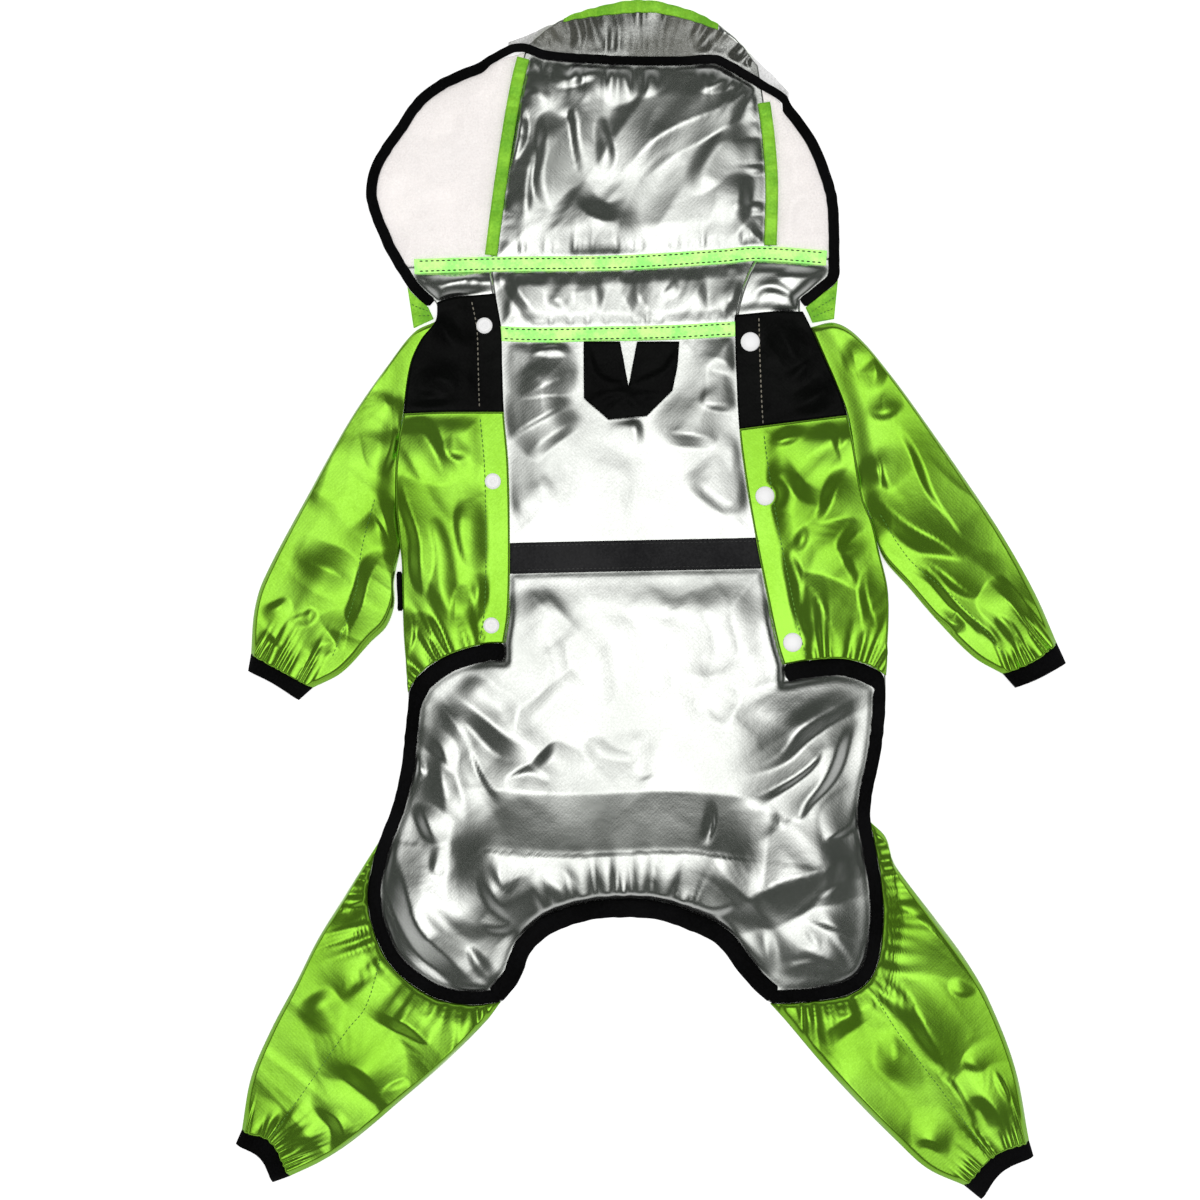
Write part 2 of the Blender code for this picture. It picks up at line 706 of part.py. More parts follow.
def back_calm(point, _u, _v):
    """Keeps the back flat under whatever lies on it."""
    covers = (
        (exposed(point), 2 * FLAT_MARGIN),
        (waist_seam.distance(point), WAIST_BAND_WIDTH / 2 + FLAT_MARGIN),
        (neck_seam.distance(point), TAPE_WIDTH / 2),
        ((point - LOOP_CENTRE).length, LOOP_REACH),
        (left_side.between("hem", "crotch").distance(point), SIDE_BINDING_WIDTH + FLAT_MARGIN),
        (right_side.between("hem", "crotch").distance(point), SIDE_BINDING_WIDTH + FLAT_MARGIN),
        (tail_edge.distance(point), TAIL_BINDING_WIDTH + FLAT_MARGIN),
    )
    return math.prod(ease(away, edge, edge + FOLD_MARGIN - FLAT_MARGIN) for away, edge in covers)


def make_back():
    """The back, from the neck seam to the tail, in two pieces that meet at the waist seam."""
    upper = Patch(
        waist_seam, neck_seam,
        left_side.between("waist", "shoulder"), right_side.between("waist", "shoulder"),
    )
    cloth("back_upper", upper, even(BACK_COLUMNS), crowded(BACK_ROWS[0], 1.0, 1.8), SILVER, lift=back_calm)
    lobes = [left_side.between("heel", "crotch"), right_side.between("crotch", "heel")]
    bottom = lobes[0].joined(tail_edge).joined(lobes[1])
    crotches = [lobes[0].length / bottom.length, 1 - lobes[1].length / bottom.length]
    shares = [CROTCH_SHARE, 1 - CROTCH_SHARE]
    lower = Patch(
        Keyed(bottom, [(0, 0), *zip(shares, crotches), (1, 1)]), waist_seam,
        left_side.between("heel", "waist"), right_side.between("heel", "waist"),
    )
    columns = key_rows([0, *shares, 1], [LOBE_COLUMNS, RUMP_COLUMNS, LOBE_COLUMNS])
    cloth("back_lower", lower, columns, crowded(BACK_ROWS[1], 2.0, 1.0), SILVER, lift=back_calm)


def make_belly():
    """The two belly panels with their yokes."""
    for side, outline, front, seam, hem, top in (
        ("l", left_side, front_left, YOKE_SEAM_LEFT, hem_left, YOKE_TOP_LEFT),
        ("r", right_side, front_right, YOKE_SEAM_RIGHT, hem_right, YOKE_TOP_RIGHT),
    ):
        body = [outline.between("hem", "yoke"), front.between("hem", "yoke")]
        yoke_side = outline.between("yoke", "collar")
        shoulder = [yoke_side, front.between("yoke", "top")]
        if side == "r":
            body.reverse()
            shoulder.reverse()

        def placket_calm(point, _u, _v, front=front):
            """Keeps the placket flat for its snaps."""
            away = abs(point.x - front.between("top", "hem").x_at(point.y))
            return ease(away, PLACKET_WIDTH, PLACKET_WIDTH + PLACKET_MARGIN)

        panel = Patch(hem, smooth(seam), *body)
        yoke = Patch(smooth(seam), smooth(top), *shoulder)
        at_shoulder = yoke_side.share(outline.between("shoulder", "collar").at(0))
        cloth(f"belly_{side}", panel, even(BELLY_COLUMNS), crowded(BELLY_ROWS, 2.6, 1.0), GREEN, BASE,
              lift=placket_calm)
        yoke_rows = key_rows([0, at_shoulder, 1], YOKE_ROWS)
        cloth(f"belly_yoke_{side}", yoke, even(YOKE_COLUMNS), yoke_rows, YOKE_BLACK, BASE, lift=placket_calm)


def make_limbs():
    """The sleeves and legs, each a flat tube, and their cuffs."""
    for name, outline, ends, table, heights in (
        ("sleeve_l", left_side, ("shoulder", "underarm"), SLEEVE_LEFT, SLEEVE_HEIGHTS),
        ("sleeve_r", right_side, ("underarm", "shoulder"), SLEEVE_RIGHT, SLEEVE_HEIGHTS),
        ("leg_l", left_side, ("hip", "crotch"), LEG_LEFT, LEG_HEIGHTS),
        ("leg_r", right_side, ("crotch", "hip"), LEG_RIGHT, LEG_HEIGHTS),
    ):
        outer, inner = smooth(table[0]).backwards(), smooth(table[1]).backwards()
        mouth = outline.between(*ends).moved(-MOUTH_GAP)
        cuff, hem = smooth(table[2]), smooth(table[3])
        sides = (outer, inner) if outline is left_side else (inner, outer)
        left, right = [side.to_point(mouth.at(k)) for k, side in enumerate(sides)]
        limb = Patch(cuff, mouth, left, right)
        rows = crowded(LIMB_ROWS, 2.6, 1.8 if "leg" in name else 1.0)
        tube(name, limb, GREEN, LIMB_COLUMNS, rows, *heights)
        cuff_name = name.replace("_", "_cuff_")
        tube(cuff_name, Patch(hem, cuff), BLACK, CUFF_COLUMNS, even(1), *CUFF_HEIGHTS, CUFF_WALL)


def make_bindings():
    """The elastic bindings: those of the body lie on its margin, and those of the hood beside the windows."""
    for side, outline, hem, opening in (
        ("l", left_side, hem_left, leg_opening_left),
        ("r", right_side, hem_right, leg_opening_right),
    ):
        inward = 1 if side == "l" else -1
        flank = outline.between("flank", "hip").part(0, FLANK_END)
        edge = opening.part(1 - LEG_BINDING_END, LEG_BINDING_END)
        inner = opening.part(1 - LEG_BINDING_END, LEG_BINDING_INNER_END).moved(inward * SIDE_BINDING_WIDTH)
        strip(f"hem_binding_{side}", hem, -HEM_BINDING_WIDTH, 0, BLACK, HEM_STEPS, BASE, BINDING)
        across = sorted((0, inward * SIDE_BINDING_WIDTH))
        strip(f"side_binding_{side}", flank, *across, BLACK, FLANK_STEPS, BASE, BINDING)
        leg = Patch(edge, inner) if side == "l" else Patch(inner, edge)
        cloth(f"leg_binding_{side}", leg, even(LEG_OPENING_STEPS), even(1), BLACK, BASE, BINDING)
    tail_run = tail_edge.part(1 - TAIL_BINDING_END, TAIL_BINDING_END)
    strip("tail_binding", tail_run, 0, TAIL_BINDING_WIDTH, BLACK, TAIL_STEPS, BASE, BINDING)
    strip("rim_binding_l", rim_left, -RIM_WIDTH, 0, BLACK, RIM_STEPS[0], 0, BINDING)
    half = RIM_TOP_WIDTH / 2
    strip("rim_binding_top", rim_top, -half, half, BLACK, RIM_STEPS[1], BASE, BINDING)
    strip("rim_binding_r", rim_right, 0, RIM_WIDTH, BLACK, RIM_STEPS[2], 0, BINDING)


def make_hood():
    """The crown, windows, brim and bands of the hood, with their tapes."""
    foot = [tape_line.share(seam.at(0)) for seam in (seam_left, seam_right)]
    inner_left, inner_right = rim_left.moved(-RIM_WIDTH - GAP), rim_right.moved(RIM_WIDTH + 2 * GAP)
    crown = Patch(tape_line.part(*foot), crown_fold, seam_left, seam_right)

    def crown_calm(point, u, v):
        """Keeps the crown flat under its side tapes and under the rim."""
        away = min(u, 1 - u) * crown.width
        below = rim_top.y_at(point.x) - point.y
        above = crown.height * v
        at_tape = ease(above, TAPE_WIDTH / 2, TAPE_WIDTH / 2 + TAPE_MARGIN)
        return ease(away, *CROWN_SIDES) * ease(below, *CROWN_RIM) * at_tape

    tape_share = (TAPE_WIDTH / 2 + GAP) / crown.height
    above_tape = [tape_share + (1 - tape_share) * v for v in crowded(CROWN_ROWS, 1.8, 1.0)]
    cloth("hood_crown", crown, even(CROWN_COLUMNS), [0.0] + above_tape, SILVER, lift=crown_calm)

    tips = [seam.part(0, share) for seam, share in zip((seam_left, seam_right), SEAM_TIPS)]
    sides = [inner.from_y(tape_line.at(k).y, inner.at(1).y)
             for k, inner in enumerate((inner_left, inner_right))]
    for k, (tip, side, corner) in enumerate(zip(tips, sides, WINDOW_CORNERS)):
        reach = side.joined(Line([side.at(1), corner]))
        edges = (reach, tip) if k == 0 else (tip, reach)
        bottom, top = [Line([edge.at(v) for edge in edges]) for v in (0, 1)]
        rows = key_rows([0, side.length / reach.length, 1], WINDOW_ROWS)
        cloth(f"window_{'lr'[k]}", Patch(bottom, top, *edges), even(WINDOW_COLUMNS), rows, VINYL)

    edge = smooth(BRIM_EDGE)
    upper_rim = rim_top.moved(RIM_TOP_WIDTH / 2 + GAP)
    brim = Patch(upper_rim.from_x(edge.at(0).x, upper_rim.at(1).x), edge)
    crest = Patch(edge.from_x(*CREST_ENDS), crown_fold.from_x(*CREST_ENDS))
    cloth("brim_top", brim, even(BRIM_COLUMNS), even(2), VINYL, BASE)
    cloth("hood_crest", crest, even(CREST_COLUMNS), even(1), GREEN, BASE)

    band_left, band_right = [
        seam.from_point(neck_seam.on(seam.at(0))).to_point(tape_line.on(seam.at(1)))
        for seam in (smooth(BAND_SEAM_LEFT), smooth(BAND_SEAM_RIGHT))
    ]
    neck = [neck_seam.share(seam.at(0)) for seam in (band_left, band_right)]
    tape = [tape_line.share(seam.at(1)) for seam in (band_left, band_right)]

    def band_calm(_point, _u, v):
        """Keeps the band flat under both of its tapes."""
        away = min(v, 1 - v) * band.height
        return ease(away, *(TAPE_WIDTH / 2 + margin for margin in BAND_MARGIN))

    band = Patch(neck_seam.part(*neck), tape_line.part(*tape), band_left, band_right)
    edge_share = (TAPE_WIDTH / 2 + 2 * GAP) / band.height
    band_rows = key_rows([0, edge_share, 1 - edge_share, 1], BAND_ROWS)
    cloth("hood_band", band, even(BAND_COLUMNS), band_rows, SILVER, lift=band_calm)
    for k, (side, inner, seam) in enumerate(zip(sides, (inner_left, inner_right), (band_left, band_right))):
        edge = Line([neck_seam.at(BAND_ENDS[k])] + inner.part(0, inner.share(side.at(0))).points)
        edges = (edge, seam) if k == 0 else (seam, edge)
        ends = sorted((BAND_ENDS[k], neck[k]))
        top = Line([line.at(1) for line in edges])
        rows = key_rows([0, edge.share(inner.at(0)), 1], BAND_END_ROWS)
        end_patch = Patch(neck_seam.part(*ends), top, *edges)
        cloth(f"hood_band_{'lr'[k]}", end_patch, even(BAND_END_COLUMNS), rows, SILVER)

    half = TAPE_WIDTH / 2
    strip("hood_tape", tape_line, -half, half, FLUORESCENT, HOOD_TAPE_STEPS, BASE)
    cross_tape("neck_tape", neck_seam, ("yoke", "top"), TAPE_WIDTH, FLUORESCENT, even(1))
    reach = SEAM_TAPE_WIDTH / 2
    for side, seam, ends in zip("lr", (seam_left, seam_right), SEAM_TAPE_ENDS):
        strip(f"seam_tape_{side}", seam.part(*ends), -reach, reach, GREEN, SEAM_TAPE_STEPS, BASE)
    rims = (
        rim_left.part(0, rim_left.share(NECK_FOLD_ENDS[0])).backwards(),
        rim_right.part(0, rim_right.share(NECK_FOLD_ENDS[1])),
    )
    for side, low, high in zip("lr", (NECK_FOLD_LEFT, NECK_FOLD_RIGHT), rims):
        cloth(f"neck_fold_{side}", Patch(smooth(low), high), even(NECK_FOLD_COLUMNS), even(2), GREEN)


def cross_tape(name, seam, stretch, width, finish, rows):
    """A tape over a seam that crosses the back, from one front edge to the other."""
    fronts = [front.between(*stretch) for front in (front_left, front_right)]
    ends = []
    for front in fronts:
        crossing = seam.y_at(front.on(seam.on(front.at(0.5))).x)
        ends.append(front.from_y(crossing - width / 2, crossing + width / 2))
    reach = seam.from_x(ends[0].at(0).x + TAPE_END, ends[1].at(0).x - TAPE_END)
    lines = [Line([ends[0].at(k)] + reach.moved(shift).points + [ends[1].at(k)])
             for k, shift in ((0, -width / 2), (1, width / 2))]
    cloth(name, Patch(*lines, *ends), even(CROSS_TAPE_STEPS), rows, finish, BASE)


def make_trims():
    """The waist band, the hang loop, the tab at the side and the snaps."""
    cross_tape("waist_band", waist_seam, ("hem", "yoke"), WAIST_BAND_WIDTH, BLACK, even(2))

    outline = bpy.data.curves.new("hang_loop", "CURVE")
    outline.dimensions = "2D"
    outline.fill_mode = "BOTH"
    outline.extrude = LOOP_THICKNESS / 2 * MM
    spline = outline.splines.new("POLY")
    spline.points.add(len(HANG_LOOP) - 1)
    for point, (x, y) in zip(spline.points, HANG_LOOP):
        point.co = (x * MM, y * MM, 0, 1)
    spline.use_cyclic_u = True
    add("hang_loop", outline, BLACK).location.z = (BASE + LOOP_THICKNESS / 2) * MM

    start, end, width = SIDE_TAB
    strip("side_tab", left_side.between("waist", "hem").from_y(start, end), -width, 0, BLACK, SIDE_TAB_STEPS)
    for side, name, x, y in SNAPS:
        profile = SOCKET_PROFILE if side == "l" else CAP_PROFILE
        lathe(f"snap_{side}_{name}", x, y, BASE + WALL + GAP, profile, WHITE)


def main():
    global garment
    for old in list(bpy.data.objects):
        bpy.data.objects.remove(old, do_unlink=True)
    garment = bpy.data.collections.new("dog_rain_suit")
    bpy.context.scene.collection.children.link(garment)
    make_back()
    make_belly()
    make_limbs()
    make_bindings()
    make_hood()
    make_trims()


main()
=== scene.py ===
"""A dog's hooded rain suit, laid flat on its back with the belly panels open: cloth, sewing and finishes.

Every outline is in millimetres from the middle of the garment: X is its width, Y runs from the tail to the
hood, and heights are above the floor. Meshes are in metres. Left and right are as seen from above. The
relief of the cloth is a field over its plan, so that pieces that share a relief follow the same folds.
"""

import logging
import math
from dataclasses import dataclass, field
from enum import Enum
from typing import Callable, Sequence

import bmesh
import bpy
import numpy as np
from mathutils import Matrix, Vector


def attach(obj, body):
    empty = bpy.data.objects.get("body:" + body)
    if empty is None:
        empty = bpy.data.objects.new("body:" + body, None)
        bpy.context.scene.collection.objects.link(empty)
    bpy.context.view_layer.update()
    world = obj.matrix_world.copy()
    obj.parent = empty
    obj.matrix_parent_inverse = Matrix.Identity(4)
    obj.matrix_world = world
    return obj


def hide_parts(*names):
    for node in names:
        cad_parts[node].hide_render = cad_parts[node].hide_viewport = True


log = logging.getLogger("rain_suit")
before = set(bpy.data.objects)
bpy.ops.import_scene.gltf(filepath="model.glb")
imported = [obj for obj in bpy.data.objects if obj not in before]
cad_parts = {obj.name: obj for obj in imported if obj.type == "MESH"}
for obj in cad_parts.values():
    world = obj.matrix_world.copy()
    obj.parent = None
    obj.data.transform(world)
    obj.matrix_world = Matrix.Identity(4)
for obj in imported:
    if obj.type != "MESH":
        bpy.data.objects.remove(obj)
BODY = "root"

Points = np.ndarray  # rows of x, y in millimetres
Field = Callable[[Points], np.ndarray]  # a height or a distance at each point
Place = Callable[[np.ndarray, np.ndarray], np.ndarray]  # rows of x, y, z for shares u and v

MM = 0.001
SPAN_STEPS = 8  # points of a smooth line between two of its own
CELL = 1.6  # spacing of the grids that make cloth
TAPE_CELL = 1.4
FOLD_CELL = 1.2
GAP = 0.3  # between pieces that meet
TOP_OF_WINDOW = 0.95
TOP_OF_BACK = 1.0
TOP_OF_TAPE = 2.0
TOP_OF_BRIM = 2.0
TOP_OF_CREST = 2.1
TOP_OF_BELLY = 2.2
CLOTH_WALL = 0.8
BACK_WALL = 0.95
FOLD_WALL = 0.9
TAPE_WALL = 0.6
VINYL_WALL = 0.5
BINDING_BASE = 1.3
BINDING_THICKNESS = 2.3
TAPE_WIDTH = 9.5
SEAM_TAPE_WIDTH = 8.0
WAIST_BAND_WIDTH = 20.0
PLACKET_WIDTH = 15.5
HEM_BINDING_WIDTH = 11.0
SIDE_BINDING_WIDTH = 8.0
TAIL_BINDING_WIDTH = 11.5
RIM_WIDTH = 7.0
RIM_TOP_WIDTH = 5.5
CROTCH_SHARE = 0.22  # the column of the lower back that meets the left crotch, mirrored on the right
SNAP_REACH = 7.0  # how far round a snap the cloth is pressed flat
SNAP_LIFT = 0.25  # a snap's foot over the flat cloth
STITCH_LIFT = 0.08  # the middle of a stitch over the cloth
SNAP_STEPS = 56
FLOOR_GAP = 0.1  # under the bindings that lie on the floor


class Side(Enum):
    """A side of the garment, as seen from above."""

    LEFT = "l"
    RIGHT = "r"


class Form(Enum):
    """The cross-section of one side of a crease."""

    SOFT = "a rounded swell"
    EVEN = "an even slope down to a sharp foot"
    CRISP = "a sharp crest with a hollow slope"
    SLOW = "a long slope that runs out gently"

    def height(self, reach: np.ndarray) -> np.ndarray:
        """The height of a crease of height 1.

        Args:
            reach: the distance from its crest at each point, as a share of its reach.

        Returns:
            The height at each point.
        """
        reach = np.clip(reach, 0.0, 1.0)
        if self is Form.SOFT:
            return (1 - reach ** 2) ** 2
        if self is Form.CRISP:
            return (1 - reach) ** 2
        if self is Form.SLOW:
            return (1 - reach) ** 1.4
        crest = 0.1
        return np.where(reach > crest, 1 - reach, 1 - crest / 2 - reach ** 2 / (2 * crest))


SOFT, EVEN, CRISP, SLOW = Form.SOFT, Form.EVEN, Form.CRISP, Form.SLOW


def ease(value: np.ndarray, low: float, high: float) -> np.ndarray:
    """A smooth step from 0 at low to 1 at high."""
    share = np.clip((value - low) / (high - low), 0.0, 1.0)
    return share * share * (3 - 2 * share)


def rounded(share: np.ndarray) -> np.ndarray:
    """A step from 0 to 1 that starts steeply and ends gently."""
    return 1 - (1 - np.clip(share, 0.0, 1.0)) ** 2


class Line:
    """A line of points that is read by its length."""

    def __init__(self, points: Sequence) -> None:
        """Measures the line.

        Args:
            points: its points, rows of x, y.
        """
        self.points = np.asarray(points, dtype=float)
        steps = np.linalg.norm(np.diff(self.points, axis=0), axis=1)
        self.reached = np.concatenate(([0.0], np.cumsum(steps)))

    @property
    def length(self) -> float:
        """The line's whole length."""
        return float(self.reached[-1])

    def at(self, share: float | np.ndarray) -> np.ndarray:
        """The point or points at shares of the length."""
        goal = np.clip(share, 0.0, 1.0) * self.length
        return np.stack([np.interp(goal, self.reached, self.points[:, k]) for k in (0, 1)], axis=-1)

    def part(self, start: float, end: float) -> "Line":
        """The stretch between two shares of the length."""
        return Line(self.at(np.linspace(start, end, max(len(self.points), 2))))

    def moved(self, distance: float) -> "Line":
        """Moves the line aside.

        Args:
            distance: how far it moves to the left of its travel.

        Returns:
            The moved line.
        """
        way = np.gradient(self.points, axis=0)
        way /= np.linalg.norm(way, axis=1, keepdims=True)
        return Line(self.points + distance * np.stack([-way[:, 1], way[:, 0]], axis=1))

    def backwards(self) -> "Line":
        """The line from its end to its start."""
        return Line(self.points[::-1])

    def joined(self, other: "Line") -> "Line":
        """This line and then another one that starts where it ends."""
        return Line(np.concatenate([self.points, other.points[1:]]))

    def with_start(self, point: Sequence) -> "Line":
        """The line with its first point moved."""
        return Line(np.concatenate([[point], self.points[1:]]))

    def with_end(self, point: Sequence) -> "Line":
        """The line with its last point moved."""
        return Line(np.concatenate([self.points[:-1], [point]]))

    def nearest(self, points: Points) -> tuple[np.ndarray, np.ndarray]:
        """Finds the line's nearest places.

        Args:
            points: rows of x, y.

        Returns:
            The share of the length at each place, and its distance, which is positive to the left of travel.
        """
        best = np.full(len(points), np.inf)
        share, side = np.zeros(len(points)), np.ones(len(points))
        for start, end, reached in zip(self.points, self.points[1:], self.reached):
            run = end - start
            length = max(float(np.hypot(*run)), 1e-9)
            away = points - start
            along = np.clip(away @ run / length ** 2, 0.0, 1.0)
            gap = away - along[:, None] * run
            distance = np.hypot(gap[:, 0], gap[:, 1])
            closer = distance < best
            best = np.where(closer, distance, best)
            share = np.where(closer, (reached + along * length) / self.length, share)
            turn = np.where(run[0] * away[:, 1] - run[1] * away[:, 0] < 0, -1.0, 1.0)
            side = np.where(closer, turn, side)
        return share, best * side

    def distance(self, points: Points) -> np.ndarray:
        """How far each point is from the line."""
        return np.abs(self.nearest(points)[1])

    def share(self, point: Sequence) -> float:
        """The share of the length at the place nearest to one point."""
        return float(self.nearest(np.array([point], dtype=float))[0][0])

    def on(self, point: Sequence) -> np.ndarray:
        """The line's nearest point to a given one."""
        return self.at(self.share(point))

    def x_at(self, y: np.ndarray) -> np.ndarray:
        """Where a line that runs along Y crosses heights."""
        order = np.argsort(self.points[:, 1])
        return np.interp(y, self.points[order, 1], self.points[order, 0])

    def y_at(self, x: np.ndarray) -> np.ndarray:
        """Where a line that runs along X crosses places."""
        order = np.argsort(self.points[:, 0])
        return np.interp(x, self.points[order, 0], self.points[order, 1])

    def from_x(self, start: float, end: float) -> "Line":
        """The stretch of a line that runs along X between two places."""
        ends = [self.share((x, float(self.y_at(x)))) for x in (start, end)]
        return self.part(*ends)

    def from_y(self, start: float, end: float) -> "Line":
        """The stretch of a line that runs along Y between two heights."""
        ends = [self.share((float(self.x_at(y)), y)) for y in (start, end)]
        return self.part(*ends)


def smooth(points: Sequence) -> Line:
    """Joins points by cubic curves.

    Args:
        points: rows of x, y.

    Returns:
        The smooth line through them, with SPAN_STEPS points from each one to the next.
    """
    points = np.asarray(points, dtype=float)
    last = len(points) - 1
    ways = np.array([points[min(i + 1, last)] - points[max(i - 1, 0)] for i in range(last + 1)])
    ways /= np.linalg.norm(ways, axis=1, keepdims=True)
    found = [points[0]]
    for i in range(last):
        reach = np.linalg.norm(points[i + 1] - points[i]) / 3
        first, second = points[i] + ways[i] * reach, points[i + 1] - ways[i + 1] * reach
        for k in range(1, SPAN_STEPS + 1):
            t = k / SPAN_STEPS
            found.append(points[i] * (1 - t) ** 3 + first * 3 * t * (1 - t) ** 2
                         + second * 3 * t * t * (1 - t) + points[i + 1] * t ** 3)
    return Line(found)


class KeyedLine(Line):
    """A line whose shares are set at keys, each a row of (share asked for, share of the line)."""

    def __init__(self, line: Line, keys: Sequence[tuple[float, float]]) -> None:
        """Takes the line and its keys."""
        super().__init__(line.points)
        self.keys = np.array(keys)

    def at(self, share: float | np.ndarray) -> np.ndarray:
        """The point or points at shares between the keys."""
        return super().at(np.interp(share, self.keys[:, 0], self.keys[:, 1]))


class Outline:
    """A smooth line through named stations, cut between any two of them."""

    def __init__(self, stations: Sequence[tuple[str, float, float]]) -> None:
        """Takes rows of name, x and y."""
        self.names = [name for name, _, _ in stations]
        self.points = smooth([(x, y) for _, x, y in stations]).points

    def between(self, start: str, end: str) -> Line:
        """The stretch from one station to another, either way round."""
        i, j = (self.names.index(name) * SPAN_STEPS for name in (start, end))
        return Line(self.points[i:j + 1]) if i <= j else Line(self.points[j:i + 1][::-1])


@dataclass
class Patch:
    """Cloth stretched between four lines: u runs from left to right and v from bottom to top."""

    bottom: Line
    top: Line
    left: Line | None = None
    right: Line | None = None

    def __post_init__(self) -> None:
        """Fills in straight sides."""
        self.left = self.left or Line([self.bottom.at(0), self.top.at(0)])
        self.right = self.right or Line([self.bottom.at(1), self.top.at(1)])

    @property
    def width(self) -> float:
        """The greatest width, measured at three heights."""
        across = [np.linalg.norm(self.left.at(v) - self.right.at(v)) for v in (0.0, 0.5, 1.0)]
        return float(max(across))

    @property
    def length(self) -> float:
        """The greatest length, along either side or the middle."""
        middle = np.linalg.norm(self.top.at(0.5) - self.bottom.at(0.5))
        return float(max(self.left.length, self.right.length, middle))

    def at(self, u: np.ndarray, v: np.ndarray) -> Points:
        """Finds places on the cloth.

        Args:
            u: shares from the left side to the right one.
            v: shares from the bottom to the top.

        Returns:
            The point at each pair of shares.
        """
        across, along = u[:, None], v[:, None]
        run = self.bottom.at(u) * (1 - along) + self.top.at(u) * along
        rise = self.left.at(v) * (1 - across) + self.right.at(v) * across
        low = self.bottom.at(0) * (1 - across) + self.bottom.at(1) * across
        high = self.top.at(0) * (1 - across) + self.top.at(1) * across
        return run + rise - low * (1 - along) - high * along

    def area(self) -> float:
        """Measures the patch.

        Returns:
            Its area in square millimetres.
        """
        count = 41
        steps = np.linspace(0, 1, count)
        u, v = (grid.ravel() for grid in np.meshgrid(steps, steps))
        spots = self.at(u, v).reshape(count, count, 2)
        a, b = spots[1:, 1:] - spots[:-1, :-1], spots[1:, :-1] - spots[:-1, 1:]
        return float(np.abs(a[..., 0] * b[..., 1] - a[..., 1] * b[..., 0]).sum() / 2)

    def cells(self, cell: float = CELL) -> tuple[int, int]:
        """How many columns and rows a grid of a given spacing has over the patch."""
        return max(4, round(self.width / cell)), max(3, round(self.length / cell))


TAPERS = (0.3, 0.5)  # the least and the greatest share of its length over which a crease usually rises
TAPER_PER_STEEPNESS = 9  # how that share grows with the crease's height over its length


@dataclass(frozen=True)
class Crease:
    """A ridge, or a trough where its height is negative, along a smooth path.

    left and right are how far it reaches to each side of travel, with the form of each side.
    """

    path: tuple
    height: float
    left: float
    right: float
    left_form: Form = SOFT
    right_form: Form = SOFT
    taper: float = 0.0  # the share of its length over which it rises at each end, or 0 for a usual one

    def lift(self, points: Points) -> np.ndarray:
        """Raises the cloth along the crease.

        Args:
            points: rows of x, y.

        Returns:
            How far the crease lifts each point.
        """
        line = smooth(self.path)
        reach = max(self.left, self.right)
        low, high = line.points.min(axis=0) - reach, line.points.max(axis=0) + reach
        near = np.all((points > low) & (points < high), axis=1)
        found = np.zeros(len(points))
        if near.any():
            share, away = line.nearest(points[near])
            usual = min(max(TAPER_PER_STEEPNESS * abs(self.height) / line.length, TAPERS[0]), TAPERS[1])
            taper = ease(np.minimum(share, 1 - share), -0.03, self.taper or usual)
            sides = np.where(away > 0, self.left_form.height(away / self.left),
                             self.right_form.height(-away / self.right))
            found[near] = self.height * taper * sides
        return found


def ridges(steep_form: Form, rows: Sequence[Sequence[float]]) -> tuple[Crease, ...]:
    """Makes creases that are steep on the left of their travel and run out slowly on the right.

    Args:
        steep_form: the form of the steep side.
        rows: for each crease its height, how far it reaches on its steep side and on its slow one, and then
            the x and y of each point of its path.

    Returns:
        The creases.
    """
    return tuple(Crease(tuple(zip(row[3::2], row[4::2])), *row[:3], steep_form, SLOW) for row in rows)


@dataclass(frozen=True)
class Gather:
    """Uneven pleats that start at a gathered seam and run out into the cloth.

    pitch is the usual distance between them, and reach how far they run.
    """

    seam: Line
    pitch: float
    depth: float
    reach: float
    seed: int = 1

    def lift(self, points: Points) -> np.ndarray:
        """Raises the cloth in pleats.

        Args:
            points: rows of x, y.

        Returns:
            How far the pleats lift each point.
        """
        chance = np.random.default_rng(self.seed)
        count = max(2, round(self.seam.length / self.pitch))
        share, away = self.seam.nearest(points)
        drift = np.interp(share, np.linspace(0, 1, count + 1), chance.uniform(-0.4, 0.4, count + 1))
        phase = share * count + drift
        number = np.clip(np.floor(phase).astype(int) + 1, 0, count + 1)
        strength = chance.uniform(0.35, 1.0, count + 2)[number]
        reach = self.reach * chance.uniform(0.45, 1.25, count + 2)[number]
        pleat = np.abs(np.sin(np.pi * phase)) * ease(np.minimum(share, 1 - share), 0.0, 0.06)
        return self.depth * strength * pleat * np.exp(-(away / reach) ** 2)


def ways_of(turn: float) -> tuple[np.ndarray, np.ndarray]:
    """The unit vectors along an angle from X, in radians, and to its left."""
    return np.array([math.cos(turn), math.sin(turn)]), np.array([-math.sin(turn), math.cos(turn)])


